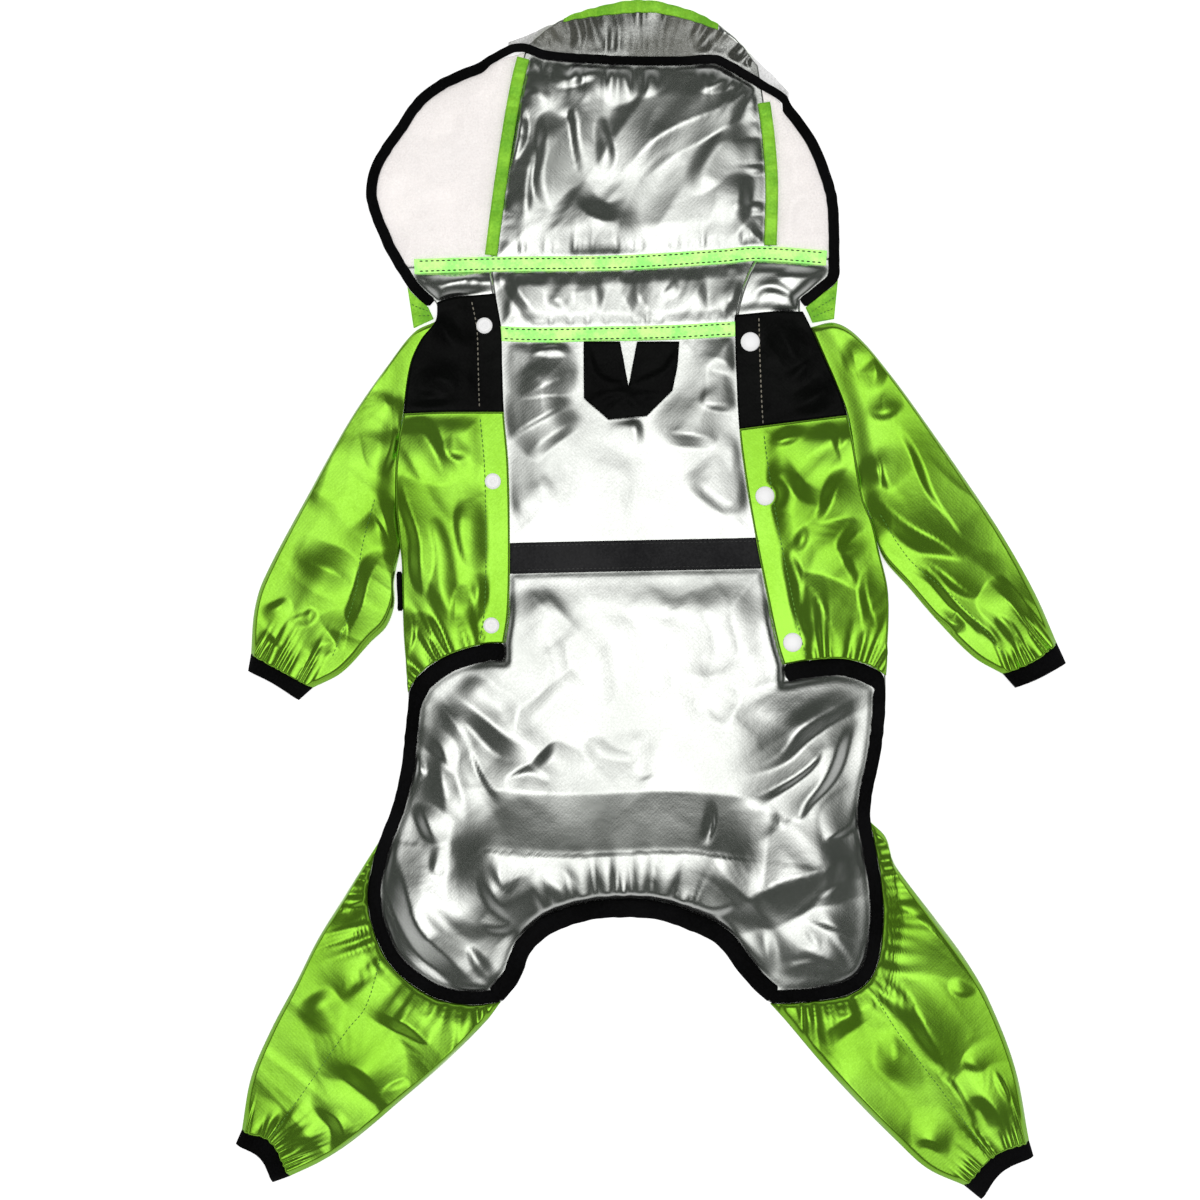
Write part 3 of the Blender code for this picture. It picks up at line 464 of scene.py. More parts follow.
@dataclass(frozen=True)
class Crumple:
    """Small straight facets scattered over a piece, the same ones at each run."""

    seed: int
    room: float = 700.0  # square millimetres for each
    heights: tuple[float, float] = (0.12, 0.42)
    lengths: tuple[float, float] = (16.0, 60.0)
    steep: tuple[float, float] = (1.6, 4.0)
    slow: tuple[float, float] = (9.0, 24.0)

    def lift(self, points: Points) -> np.ndarray:
        """Raises the cloth in small facets.

        Args:
            points: rows of x, y.

        Returns:
            How far they lift each point.
        """
        chance = np.random.default_rng(self.seed)
        low, high = points.min(axis=0), points.max(axis=0)
        total = np.zeros(len(points))
        for _ in range(round(float(np.prod(high - low)) / self.room)):
            start, turn = chance.uniform(low, high), chance.uniform(0, 2 * math.pi)
            length, steep, slow = (chance.uniform(*span) for span in (self.lengths, self.steep, self.slow))
            along, across = ways_of(turn)
            away = points - start
            share, aside = away @ along / length, away @ across
            aside = np.where(aside > 0, aside / slow, -aside / steep)
            near = (np.abs(share) < 1) & (aside < 1)
            rise = (1 - share[near] ** 2) ** 2 * SLOW.height(aside[near])
            total[near] += chance.uniform(*self.heights) * rise
        return total


WAVE_SCALES = ((1.0, 1.0), (0.45, 0.3))  # the size and the share of the large waves and of the small ones
LATTICE = 64  # the rows and columns of the heights that waves run through
CALM_SHARE = 0.12  # what is left of the waves in a calm place


@dataclass(frozen=True)
class Ripples:
    """Uneven waves that run one way, part of them with crisp crests, from a skewed lattice of heights.

    turn is the angle from X in degrees along which they run, long and wide are their usual size, crisp is the
    share of the crests, and calm is a circle, as its centre and radius, inside which they fade out.
    """

    seed: int
    turn: float
    height: float = 2.5
    long: float = 80.0
    wide: float = 28.0
    crisp: float = 0.4
    calm: tuple[float, float, float] | None = None

    def lift(self, points: Points) -> np.ndarray:
        """Raises the cloth in waves.

        Args:
            points: rows of x, y.

        Returns:
            How far the waves lift each point.
        """
        chance = np.random.default_rng(self.seed)
        along, across = ways_of(math.radians(self.turn))
        total = np.zeros(len(points))
        for scale, share in WAVE_SCALES:
            waves = chance.uniform(-0.03, 0.03, (2, 2)) / scale
            bent = points + 6 * scale * np.sin(points @ waves + chance.uniform(0, 6, 2))
            spots = np.stack([bent @ along / self.long, bent @ across / self.wide], axis=1) / scale
            table = chance.uniform(0, 1, (LATTICE, LATTICE))
            cell = np.floor(spots).astype(int)
            part = spots - cell
            part = part * part * (3 - 2 * part)
            (i, j), (x, y) = cell.T % LATTICE, part.T
            right, upper = (i + 1) % LATTICE, (j + 1) % LATTICE
            low = table[i, j] * (1 - x) + table[right, j] * x
            value = low * (1 - y) + (table[i, upper] * (1 - x) + table[right, upper] * x) * y
            ridge = 1 - np.abs(2 * value - 1)
            total += share * ((1 - self.crisp) * value + self.crisp * ridge)
        if self.calm:
            x, y, reach = self.calm
            away = np.hypot(points[:, 0] - x, points[:, 1] - y)
            total *= CALM_SHARE + (1 - CALM_SHARE) * ease(away, 0.45 * reach, reach)
        return self.height * total


def wavered(points: Points, reach: float = 1.8) -> Points:
    """Moves points a little to and fro, so that no crease runs quite straight.

    Args:
        points: rows of x, y.
        reach: how far they move at most.

    Returns:
        The moved points.
    """
    x, y = points[:, 0], points[:, 1]
    first, second = np.sin(0.11 * y + 0.04 * x), np.sin(0.10 * x - 0.05 * y)
    return points + reach * np.stack([first, second], axis=1)


SOFT_FOOT = 0.3  # how softly a trough bottoms out on what lies below
EDGE_ROLL = 4.0  # how far from a cover the small roll beside it stands highest
COVER_FOOT = 3.0  # how far from a cover no relief is held down any more


@dataclass
class Relief:
    """The folds of a piece of cloth: a slow swell, its creases, its gathers and its ripples.

    Where creases cross, the higher one shows. covers are fields of the distance outside whatever lies on
    the cloth and keeps it flat. swell_reach, fold_reach and small_reach are how far from them the swell,
    the folds and the small relief have risen, edge is the height of the small roll beside them, and below
    is the relief of another piece that the cloth lies on.
    """

    swell: float
    creases: Sequence[Crease] = ()
    gathers: Sequence[Gather | Crease] = ()
    small: Sequence[Crumple | Ripples] = ()
    covers: Sequence[Field] = ()
    swell_reach: float = 34.0
    fold_reach: float = 8.0
    small_reach: float = 30.0
    edge: float = 0.0
    below: "Relief | None" = None

    def height(self, points: Points) -> np.ndarray:
        """Adds up the relief.

        Args:
            points: rows of x, y.

        Returns:
            How far the cloth is lifted at each point.
        """
        away = np.full(len(points), 1e3)
        for cover in self.covers:
            away = np.minimum(away, cover(points))
        folds = np.zeros(len(points))
        bent = wavered(points)
        for crease in self.creases:
            rise = crease.lift(bent)
            folds = np.maximum(folds, rise) + np.minimum(rise, 0.0)
        for fold in self.gathers:
            folds += fold.lift(points)
        raised = self.swell * rounded(away / self.swell_reach) + folds * rounded(away / self.fold_reach)
        rolled = np.maximum(away, 0.0) / EDGE_ROLL
        raised += self.edge * rolled * np.exp(1 - rolled)
        for fold in self.small:
            raised += fold.lift(points) * ease(away, 0.0, self.small_reach)
        clipped = 0.5 * (raised + np.sqrt(raised ** 2 + SOFT_FOOT ** 2) - SOFT_FOOT)
        lying = self.below.height(points) if self.below else 0.0
        return lying + clipped * rounded(away / COVER_FOOT)


# --- the outlines: named stations along each edge, from the hood towards the tail

LEFT_SIDE = (
    ("collar", -138, 193), ("shoulder", -139, 181), ("", -148, 169), ("", -155, 153), ("yoke", -160, 121),
    ("", -164, 95), ("", -165, 66), ("underarm", -162, 34), ("waist", -161, 24), ("", -160, -12),
    ("hem", -157, -60), ("flank", -157, -68), ("", -159, -86), ("", -161, -106), ("", -167, -133),
    ("hip", -176, -157), ("", -180, -171), ("", -183, -190), ("", -180, -212), ("heel", -168, -237),
    ("", -142, -257), ("", -117, -262.5), ("crotch", -97, -261),
)
TAIL = (
    ("left", -96, -261), ("", -90.5, -254.5), ("", -84, -245), ("", -77, -228), ("", -63, -216),
    ("", -40, -208), ("", -17, -206), ("", 5, -207.5), ("", 27, -215), ("", 44, -224), ("", 57, -241),
    ("", 64, -249), ("", 71, -256), ("right", 77, -261),
)
RIGHT_SIDE = (
    ("collar", 99, 187), ("shoulder", 104, 177), ("", 112, 159), ("", 120, 141), ("yoke", 128, 120),
    ("", 133, 92), ("", 138, 65), ("underarm", 144, 50), ("waist", 148, 33), ("", 154, 4),
    ("hem", 153, -49), ("flank", 153, -60), ("", 152, -80), ("", 149, -103), ("", 144, -127),
    ("hip", 143, -144), ("", 146, -160), ("", 150, -185), ("", 151, -210), ("heel", 146, -240),
    ("", 133, -254), ("", 108, -260), ("crotch", 78, -262),
)
FRONT_LEFT = (
    ("top", -101, 199), ("", -97, 178), ("", -96, 150), ("yoke", -95, 122), ("", -92, 88), ("", -91, 30),
    ("", -92, -8), ("hem", -95, -28),
)
FRONT_RIGHT = (
    ("top", 55, 185), ("", 56, 150), ("yoke", 58, 111), ("", 61, 86), ("", 67, 49), ("", 75, 8),
    ("", 83, -29), ("hem", 87, -42),
)

left_side, right_side = Outline(LEFT_SIDE), Outline(RIGHT_SIDE)
front_left, front_right = Outline(FRONT_LEFT), Outline(FRONT_RIGHT)
tail_edge = Outline(TAIL).between("left", "right")
waist_seam = smooth(((-161, 24), (-91, 27), (0, 29), (69, 30.5), (148, 33)))
neck_seam = smooth(((-139, 181), (-97, 173), (-20, 173), (20, 174), (55, 176), (104, 177)))
yoke_seam_left = smooth(((-160, 121), (-136, 122), (-95, 122)))
yoke_seam_right = smooth(((58, 111), (96, 116), (128, 120)))
yoke_top_left = smooth(((-138, 193), (-129, 196), (-101, 199)))
yoke_top_right = smooth(((55, 185), (78, 187), (99, 187)))
hem_left = smooth(((-157, -60), (-151, -50), (-142, -42), (-127, -34), (-107, -28.5), (-95, -28)))
hem_right = smooth(((87, -42), (105, -39), (124, -38), (141, -42), (153, -49)))
rim_left = smooth(((-144, 190), (-155, 200), (-163, 212), (-175, 234), (-184, 259), (-184, 273),
                   (-179, 287), (-162, 312), (-153, 325), (-136, 338), (-109, 349.5)))
rim_top = smooth(((-106, 349), (-89, 358), (-80, 358), (-69, 354), (-36, 351), (-2, 350), (22, 350),
                  (42, 351), (55, 345), (75, 333), (89, 324.5)))
rim_right = smooth(((101, 190), (111, 198), (122, 208), (123, 222), (122, 258), (117, 278), (109, 297),
                    (100, 311), (90, 323)))
tape_line = smooth(((-153, 216.5), (-136, 217), (-104, 218), (-20, 219), (46, 223), (70, 225), (114.5, 222)))
seam_left = smooth(((-104, 218), (-98, 264), (-92, 304), (-86, 337), (-80, 360)))
seam_right = smooth(((78, 224), (79, 270), (77, 299), (74, 322), (70, 347)))
band_seam_left = smooth(((-97, 173), (-101, 195), (-104, 218)))
band_seam_right = smooth(((55, 176), (60, 200), (70, 225)))
crown_fold = smooth(((-80, 360), (-58, 376), (-32, 385), (-6, 388.5), (26, 382), (52, 367), (70, 347)))
brim_edge = smooth(((-92, 362), (-78, 367), (-62, 373.5), (-25, 379.5), (9, 379.5), (46, 368), (64, 355),
                    (79, 341), (90, 329.5)))

SEAM_TAPE_ENDS = ((0.04, 0.94), (0.045, 0.8))  # shares of the two side seams
SEAM_TIPS = (0.97, 0.88)  # shares of them at which the windows end
WINDOW_CORNERS = ((-105.2, 348), (84.5, 323.5))
BAND_ENDS = (0.03, 0.975)  # shares of the neck seam at which the hood band starts and ends
CREST_ENDS = (-56, 44)
NECK_FOLDS = (((-153.5, 176.5), (-140.5, 182.5)), ((105.5, 180), (119.5, 182.5)))
NECK_FOLD_ENDS = ((-158, 203), (122, 208))  # where the two folds leave the rim

SOCKET = (
    (0, 0.5), (1.2, 0.5), (1.7, 0.9), (2.1, 1.5), (2.6, 1.9), (3.2, 2.0), (3.8, 1.9), (4.3, 1.5), (4.7, 1.0),
    (5.1, 0.7), (5.2, 0.4), (5.2, 0.0), (0, 0),
)
CAP = (
    (0, 2.4), (1.5, 2.38), (3.0, 2.25), (4.2, 1.95), (5.2, 1.5), (5.9, 0.9), (6.2, 0.4), (6.2, 0.0), (0, 0),
)
LIMBS = {  # the outer side, the inner side, the seam of the cuff and the cuff's edge
    "leg_l": (
        ((-176, -157), (-185, -171), (-200, -195), (-216, -221), (-229, -247), (-246, -279), (-259, -310),
         (-265, -344)),
        ((-97, -261), (-106, -273), (-132, -299), (-162, -325), (-193, -351), (-213, -364), (-234, -374)),
        ((-265, -344), (-246, -351), (-234, -374)),
        ((-269, -353), (-253, -362), (-245, -378)),
    ),
    "leg_r": (
        ((143, -144), (153, -154), (158, -170), (166, -182), (186, -208), (205, -234), (220, -260),
         (237, -304), (246, -351)),
        ((78, -262), (88, -273), (110, -299), (134, -325), (160, -351), (180, -369), (204, -380)),
        ((204, -380), (224, -359), (246, -351)),
        ((215, -389), (228, -371), (249, -361)),
    ),
    "sleeve_l": (
        ((-139, 181), (-153, 174), (-169, 154), (-194, 118), (-222, 68), (-251, 13), (-257, -8), (-259, -35)),
        ((-162, 34), (-166, 13), (-166, -3), (-171, -17), (-181, -27), (-200, -47), (-219, -57)),
        ((-259, -35), (-241, -45), (-219, -57)),
        ((-261, -46), (-245, -54), (-228, -65)),
    ),
    "sleeve_r": (
        ((104, 177), (120, 180), (135, 171), (157, 145), (181, 112), (204, 79), (228, 43), (250, 4),
         (264, -28)),
        ((144, 50), (151, 28), (168, 8), (187, -14), (210, -37), (229, -48)),
        ((229, -48), (248, -40), (264, -28)),
        ((237, -57), (252, -51), (270, -41)),
    ),
}
LIMB_SEAMS = {
    "leg_l": ((-173, -226), (-184, -263), (-196, -278), (-222, -315), (-247, -350)),
    "leg_r": ((143, -251), (159, -278), (189, -318), (217, -357)),
    "sleeve_l": ((-177, 70), (-187, 31), (-191, 2), (-207, -40)),
    "sleeve_r": ((146, 60), (167, 27), (191, 6), (214, -17), (233, -40)),
}
HANG_LOOP = (
    (-43, 167.5), (-19.5, 167.5), (-14, 138.5), (-8.5, 167.5), (19, 167.5), (17.5, 151), (14.5, 136),
    (-2, 119.5), (-27, 117), (-43, 131),
)
LOOP_CENTRE = np.array((-12.0, 142.0))
LOOP_CORE = 24.0
LOOP_TOP = 2.6
LOOP_THICKNESS = 1.3
LOOP_CELL = 1.7
LOOP_CUTS = 48  # of its grid, on either side of its centre
SNAPS = {
    Side.LEFT: (("top", -107.5, 178), ("mid", -102, 77), ("low", -103, -16.5)),
    Side.RIGHT: (("top", 65, 167.5), ("mid", 74.5, 67.5), ("low", 92.5, -27.5)),
}

# --- the creases: ridges of each piece, grouped by the form of their steep side

RUMP_BAND = Crease(((-130, -160), (-58, -165), (20, -163), (74, -169)), 10.3, 39, 60, EVEN, SOFT, taper=0.16)
RUMP_CREASES = ridges(EVEN, (
    (4.9, 13, 36, -136, -65, -120, -83, -101, -98, -78, -109),
    (4.0, 14, 30, -135, -92, -133, -120, -135, -146),
    (2.8, 6, 21, -135, -161, -146, -144, -155, -130),
    (2.2, 6, 18, -135, -160, -136, -174, -143, -188),
    (7.2, 14, 53, -98, -254, -118, -243, -140, -221, -159, -190, -167, -152),
    (3.4, 12, 31, -83, -214, -98, -195, -110, -177),
    (2.6, 8, 23, -117, -202, -133, -204, -151, -205),
    (3.4, 9, 25, -129, -211, -114, -228, -98, -251),
    (6.1, 13, 46, 140, -56, 98, -82, 77, -103, 53, -116),
    (4.1, 9, 31, 127, -83, 101, -107, 78, -122, 60, -131),
    (2.4, 6, 21, 84, -129, 85, -144, 86, -161),
    (7.6, 23, 56, 144, -157, 103, -176, 69, -192, 43, -209),
    (3.3, 7, 24, 142, -136, 121, -150, 98, -164),
    (3.7, 15, 38, 138, -251, 107, -230, 81, -213),
    (2.8, 9, 25, 138, -248, 122, -224, 110, -200),
    (2.8, 9, 25, -74, -173, -58, -186, -43, -204),
    (2.1, 7, 17, -99, -117, -78, -114, -55, -124),
    (2.8, 7, 21, -159, -94, -150, -105, -139, -125),
    (3.6, 9, 30, -126, -128, -133, -99, -152, -77),
    (2.2, 6, 22, -116, -191, -122, -204, -128, -219),
    (2.6, 7, 22, -83, -204, -104, -211, -122, -204),
    (3.6, 8, 26, -166, -184, -153, -204, -140, -233),
    (2.4, 7, 24, -78, -195, -94, -184, -96, -165),
    (2.4, 7, 20, -150, -184, -139, -173, -133, -154),
    (2.8, 7, 24, -108, -246, -130, -236, -146, -222),
    (3.2, 7, 26, 116, -245, 105, -222, 96, -202),
    (2.2, 7, 22, 70, -211, 75, -226, 83, -241),
    (3.2, 8, 28, 138, -230, 118, -211, 96, -202),
    (2.8, 8, 24, 83, -241, 103, -234, 125, -250),
    (3.0, 8, 26, 70, -165, 92, -156, 107, -141),
    (2.6, 7, 24, 98, -196, 118, -186, 128, -170),
)) + ridges(SOFT, (
    (2.8, 11, 49, -81, -121, -64, -104, -55, -86),
    (4.0, 9, 30, 129, -75, 122, -96, 108, -120, 98, -140, 101, -160),
    (2.1, 28, 49, -98, -68, -90, -31, -88, 6),
    (1.8, 24, 49, 30, 8, 40, -31, 35, -60),
    (1.1, 18, 42, -39, -18, -37, -46, -39, -78),
    (2.1, 22, 42, 75, 6, 82, -36, 86, -69),
    (1.8, 20, 46, -86, -90, -65, -72, -47, -40),
    (1.0, 16, 30, -6, -83, -9, -118, -4, -124),
    (1.5, 20, 42, 60, -52, 43, -65, 32, -78),
    (1.8, 16, 27, -81, -75, -104, -65, -118, -47),
    (2.6, 8, 26, 66, -192, 40, -197, 18, -191),
    (1.2, 16, 24, -70, -14, -62, -40, -66, -66),
    (1.1, 18, 26, 8, -10, 2, -38, 10, -70),
    (1.3, 16, 28, 24, -86, 44, -52, 52, -20),
    (1.4, 14, 24, -44, -88, -26, -102, 2, -108),
)) + ridges(CRISP, (
    (3.7, 8, 28, -141, -60, -125, -84, -104, -121, -96, -135),
)) + (
    Crease(((40, -131), (38, -147), (36, -164)), 2.2, 4, 6, CRISP, EVEN),
)
NAPE_CREASES = ridges(EVEN, (
    (3.3, 10, 42, -40, 152, -63, 140, -94, 126),
    (2.4, 7, 34, -51, 133, -72, 118, -94, 100),
    (2.0, 7, 49, -47, 122, -64, 108, -81, 90),
    (2.0, 6, 24, -13, 133, -11, 114, -12, 96),
    (3.0, 10, 38, 52, 99, 26, 107, -1, 114),
    (1.9, 9, 34, 61, 143, 47, 155, 32, 162),
    (2.1, 7, 27, -83, 156, -63, 162, -49, 152),
)) + ridges(SOFT, (
    (1.9, 10, 49, 68, 59, 43, 70, 22, 82),
    (2.0, 8, 30, 61, 127, 43, 126, 26, 133),
    (0.8, 15, 42, -14, 94, -21, 72, -29, 49),
    (1.1, 14, 38, -64, 79, -78, 72, -92, 57),
    (1.1, 14, 34, 58, 110, 51, 90, 47, 65),
))
CROWN_CREASES = ridges(EVEN, (
    (2.3, 10, 33, -25, 354, -18, 337, -10, 320),
    (2.3, 10, 33, -9, 320, -3, 335, 5, 354),
    (5.0, 14, 45, 68, 330, 55, 326, 26, 310, -6, 288, -26, 273),
    (1.5, 3, 13, -32, 271, -16, 289, 19, 309, 44, 326, 66, 332),
    (3.4, 11, 33, 65, 343, 32, 327, 22, 311),
    (2.1, 9, 28, 23, 306, 6, 313, -5, 324),
    (1.3, 6, 22, 58, 247, 65, 240, 74, 235),
    (3.9, 13, 43, -51, 274, -44, 256, -27, 244, -5, 250),
    (3.3, 6, 30, -81, 335, -87, 303, -96, 257),
)) + ridges(SOFT, (
    (2.1, 14, 46, 29, 259, 43, 289, 60, 308),
    (3.3, 12, 34, 69, 281, 57, 263, 46, 231),
    (3.0, 9, 28, -42, 272, -46, 292, -47, 317, -63, 315),
    (2.7, 10, 27, -63, 246, -68, 286, -65, 320),
    (2.3, 9, 28, -32, 344, -55, 339, -60, 351),
    (1.9, 9, 25, -74, 347, -71, 330, -61, 320),
    (2.3, 11, 27, -35, 322, -30, 292, -39, 276),
    (2.1, 7, 19, -78, 299, -79, 273, -84, 243),
))
COLLAR_CREASES = ridges(EVEN, (
    (2.3, 8, 30, -72, 183, -84, 198, -93, 213),
    (2.3, 8, 30, 8, 184, -3, 193, -15, 213),
    (2.0, 8, 21, 56, 213, 51, 198, 44, 183),
)) + ridges(SOFT, (
    (1.5, 8, 21, -51, 187, -61, 196, -71, 192),
    (1.7, 8, 23, -40, 211, -35, 198, -39, 185),
    (1.8, 9, 23, 32, 211, 29, 196, 35, 183),
    (1.2, 7, 23, 9, 209, 14, 199, 12, 191),
))
COLLAR_L_CREASES = ridges(EVEN, (
    (3.5, 14, 36, -101, 214, -136, 205, -157, 204),
)) + ridges(SOFT, (
    (1.6, 6, 18, -139, 200, -151, 205, -161, 213),
))
COLLAR_R_CREASES = ridges(EVEN, (
    (3.0, 9, 28, 70, 214, 91, 207, 118, 211),
    (1.8, 6, 22, 86, 216, 78, 203, 69, 192),
    (1.8, 6, 21, 98, 195, 87, 186, 72, 185),
)) + ridges(SOFT, (
    (2.8, 8, 25, 105, 187, 91, 198, 73, 203, 60, 191),
))
BELLY_L_CREASES = ridges(EVEN, (
    (3.9, 11, 34, -157, 118, -143, 99, -131, 74),
    (4.4, 8, 33, -142, -13, -152, 44, -161, 86),
    (2.1, 6, 22, -112, -8, -110, 6, -114, 20),
    (2.8, 7, 25, -129, -22, -125, -3, -122, 14),
    (3.3, 8, 30, -150, -4, -143, -26, -139, -47),
    (2.9, 6, 22, -160, -4, -155, -23, -156, -44),
)) + ridges(SOFT, (
    (3.3, 15, 27, -147, 72, -138, 24, -127, -23),
    (1.8, 7, 21, -117, 100, -129, 98, -139, 105),
    (1.8, 9, 27, -118, 17, -122, 39, -117, 65),
))
BELLY_R_CREASES = ridges(EVEN, (
    (3.6, 12, 37, 78, 91, 91, 68, 112, 61),
    (3.7, 8, 31, 105, 43, 116, 65, 129, 87),
    (2.4, 7, 25, 109, 114, 117, 103, 126, 87),
    (1.8, 6, 22, 117, 94, 125, 104, 129, 114),
    (4.0, 12, 36, 133, 60, 122, 31, 144, 36),
    (5.1, 16, 41, 130, -32, 118, -18, 103, 5, 98, 26),
    (4.0, 11, 31, 116, 51, 125, 26, 138, 0),
    (4.0, 9, 31, 152, -30, 140, 0, 144, 29),
)) + ridges(SOFT, (
    (1.7, 6, 18, 101, 107, 88, 104, 79, 107),
    (2.5, 8, 23, 90, 39, 94, 13, 98, -20),
    (2.1, 8, 19, 98, 26, 101, 42, 98, 55),
))
SLEEVE_L_CREASES = ridges(EVEN, (
    (3.7, 17, 45, -231, 31, -207, 19, -190, 4),
    (4.8, 9, 36, -196, -30, -185, 5, -168, 34),
    (2.3, 7, 24, -168, 35, -173, 49, -176, 65),
    (1.3, 4, 15, -161, 52, -169, 50, -178, 52),
    (1.7, 6, 28, -171, 138, -168, 128, -157, 131),
    (1.9, 8, 24, -185, 56, -178, 47, -168, 36),
    (1.6, 5, 24, -222, -1, -219, -10, -220, -22),
    (1.9, 6, 25, -199, -26, -211, -31, -220, -39),
    (1.9, 6, 24, -194, -8, -198, -21, -203, -32),
)) + ridges(SOFT, (
    (1.7, 6, 22, -250, -9, -240, -4, -231, 4),
    (1.2, 6, 21, -214, 9, -209, 1, -211, -5),
    (1.5, 6, 24, -252, -18, -247, -26, -242, -35),
    (2.4, 5, 23, -168, 117, -170, 98, -173, 78),
    (1.6, 12, 38, -221, 58, -207, 84, -196, 110),
))
SLEEVE_R_CREASES = ridges(EVEN, (
    (5.4, 12, 41, 214, 16, 190, 32, 165, 51, 144, 68),
    (4.4, 9, 33, 212, 18, 228, 1, 240, -11, 252, -31),
    (4.3, 10, 36, 220, 0, 191, 15, 170, 29),
    (2.5, 5, 19, 233, -37, 200, -1, 167, 29),
    (1.5, 7, 25, 185, 79, 187, 69, 188, 60),
    (1.8, 7, 25, 135, 144, 131, 156, 125, 166),
    (2.1, 7, 22, 138, 161, 146, 148, 144, 135),
    (1.7, 6, 19, 207, -14, 195, -13, 190, -4),
    (1.9, 5, 21, 142, 94, 148, 84, 151, 70),
)) + ridges(SOFT, (
    (3.3, 10, 31, 244, -34, 228, -13, 213, -2),
    (2.5, 7, 27, 212, 21, 190, 61, 177, 86, 161, 114),
    (2.0, 6, 19, 166, 127, 152, 122, 140, 126),
    (2.0, 6, 19, 161, 65, 153, 81, 146, 99),
    (1.8, 6, 21, 217, -26, 211, -13, 202, -8),
))
LEG_L_CREASES = ridges(EVEN, (
    (3.6, 10, 34, -169, -182, -189, -197, -211, -205),
    (1.8, 4, 15, -162, -199, -173, -200, -185, -203),
    (4.5, 9, 34, -130, -300, -155, -276, -181, -260),
    (5.7, 16, 43, -122, -250, -125, -282, -134, -308, -164, -329),
    (4.4, 12, 36, -167, -328, -192, -299, -212, -306),
    (3.9, 8, 30, -198, -364, -203, -335, -222, -324),
    (2.3, 7, 28, -208, -341, -222, -346, -235, -355),
    (1.8, 5, 24, -240, -329, -246, -339, -248, -351),
    (3.3, 8, 30, -124, -254, -149, -246, -155, -228),
)) + ridges(SOFT, (
    (2.4, 12, 30, -228, -273, -208, -263, -195, -260),
    (2.0, 8, 27, -185, -234, -194, -250, -204, -260),
    (2.1, 8, 19, -143, -260, -151, -273, -157, -286),
    (2.0, 10, 27, -181, -322, -162, -317, -150, -306),
))
LEG_R_CREASES = ridges(EVEN, (
    (5.7, 13, 43, 196, -317, 186, -288, 170, -263, 150, -240),
    (2.7, 12, 33, 152, -312, 156, -295, 159, -278),
    (2.9, 9, 23, 143, -261, 124, -270, 107, -283),
    (5.7, 15, 43, 144, -187, 168, -200, 189, -221, 214, -250),
    (1.3, 5, 25, 162, -212, 160, -204, 152, -200),
    (1.3, 5, 25, 161, -228, 159, -220, 151, -214),
    (1.1, 5, 22, 162, -238, 159, -235, 151, -228),
    (3.6, 9, 31, 229, -347, 226, -334, 213, -321, 197, -328),
    (2.0, 6, 24, 194, -358, 179, -350, 169, -352),
    (1.8, 4, 13, 152, -257, 173, -286, 195, -318, 217, -350),
)) + ridges(SOFT, (
    (2.3, 10, 25, 220, -312, 209, -300, 194, -299),
    (2.1, 8, 24, 212, -250, 198, -251, 183, -247),
    (1.6, 7, 21, 217, -282, 207, -283, 196, -281),
    (2.8, 6, 21, 220, -299, 228, -318, 231, -335),
    (2.8, 9, 23, 166, -354, 138, -326, 110, -298),
))
LOOP_CREASES = ridges(EVEN, (
    (1.1, 3, 9, -44, 168, -32, 146, -12, 136),
    (1.1, 3, 9, -14, 136, 6, 146, 20, 166),
    (1.2, 3, 8, -2, 120, -20, 133, -40, 128),
    (0.9, 3, 6, 12, 134, -14, 128, -30, 118),
))
YOKE_L_CREASES = (
    Crease(((-150, 150), (-135, 140), (-120, 133)), 2.6, 14, 10, SLOW, EVEN),
    Crease(((-138, 188), (-130, 172), (-124, 157)), 2.2, 8, 10, EVEN, SLOW),
    Crease(((-156, 130), (-140, 129), (-125, 131)), 1.8, 9, 6, SLOW, SOFT),
)
YOKE_R_CREASES = (
    Crease(((75, 182), (88, 168), (105, 148)), 2.6, 14, 10, SLOW, EVEN),
    Crease(((124, 140), (105, 129), (87, 122)), 2.6, 9, 12, EVEN, SLOW),
    Crease(((110, 161), (98, 148), (87, 142)), 2.0, 10, 8, SLOW, SOFT),
)
WINDOW_CREASES = (
    (
        Crease(((-170, 250), (-150, 262), (-126, 262)), 1.8, 9, 12),
        Crease(((-160, 300), (-138, 290), (-116, 298)), 1.6, 10, 10),
        Crease(((-150, 226), (-140, 246), (-142, 268)), -1.4, 10, 10),
        Crease(((-130, 330), (-120, 308), (-122, 286)), 1.4, 8, 9),
    ),
    (
        Crease(((84, 250), (98, 262), (114, 258)), 1.8, 9, 10),
        Crease(((84, 290), (96, 280), (108, 284)), 1.6, 8, 9),
        Crease(((98, 230), (96, 246), (102, 262)), -1.4, 9, 9),
    ),
)


# --- the finishes


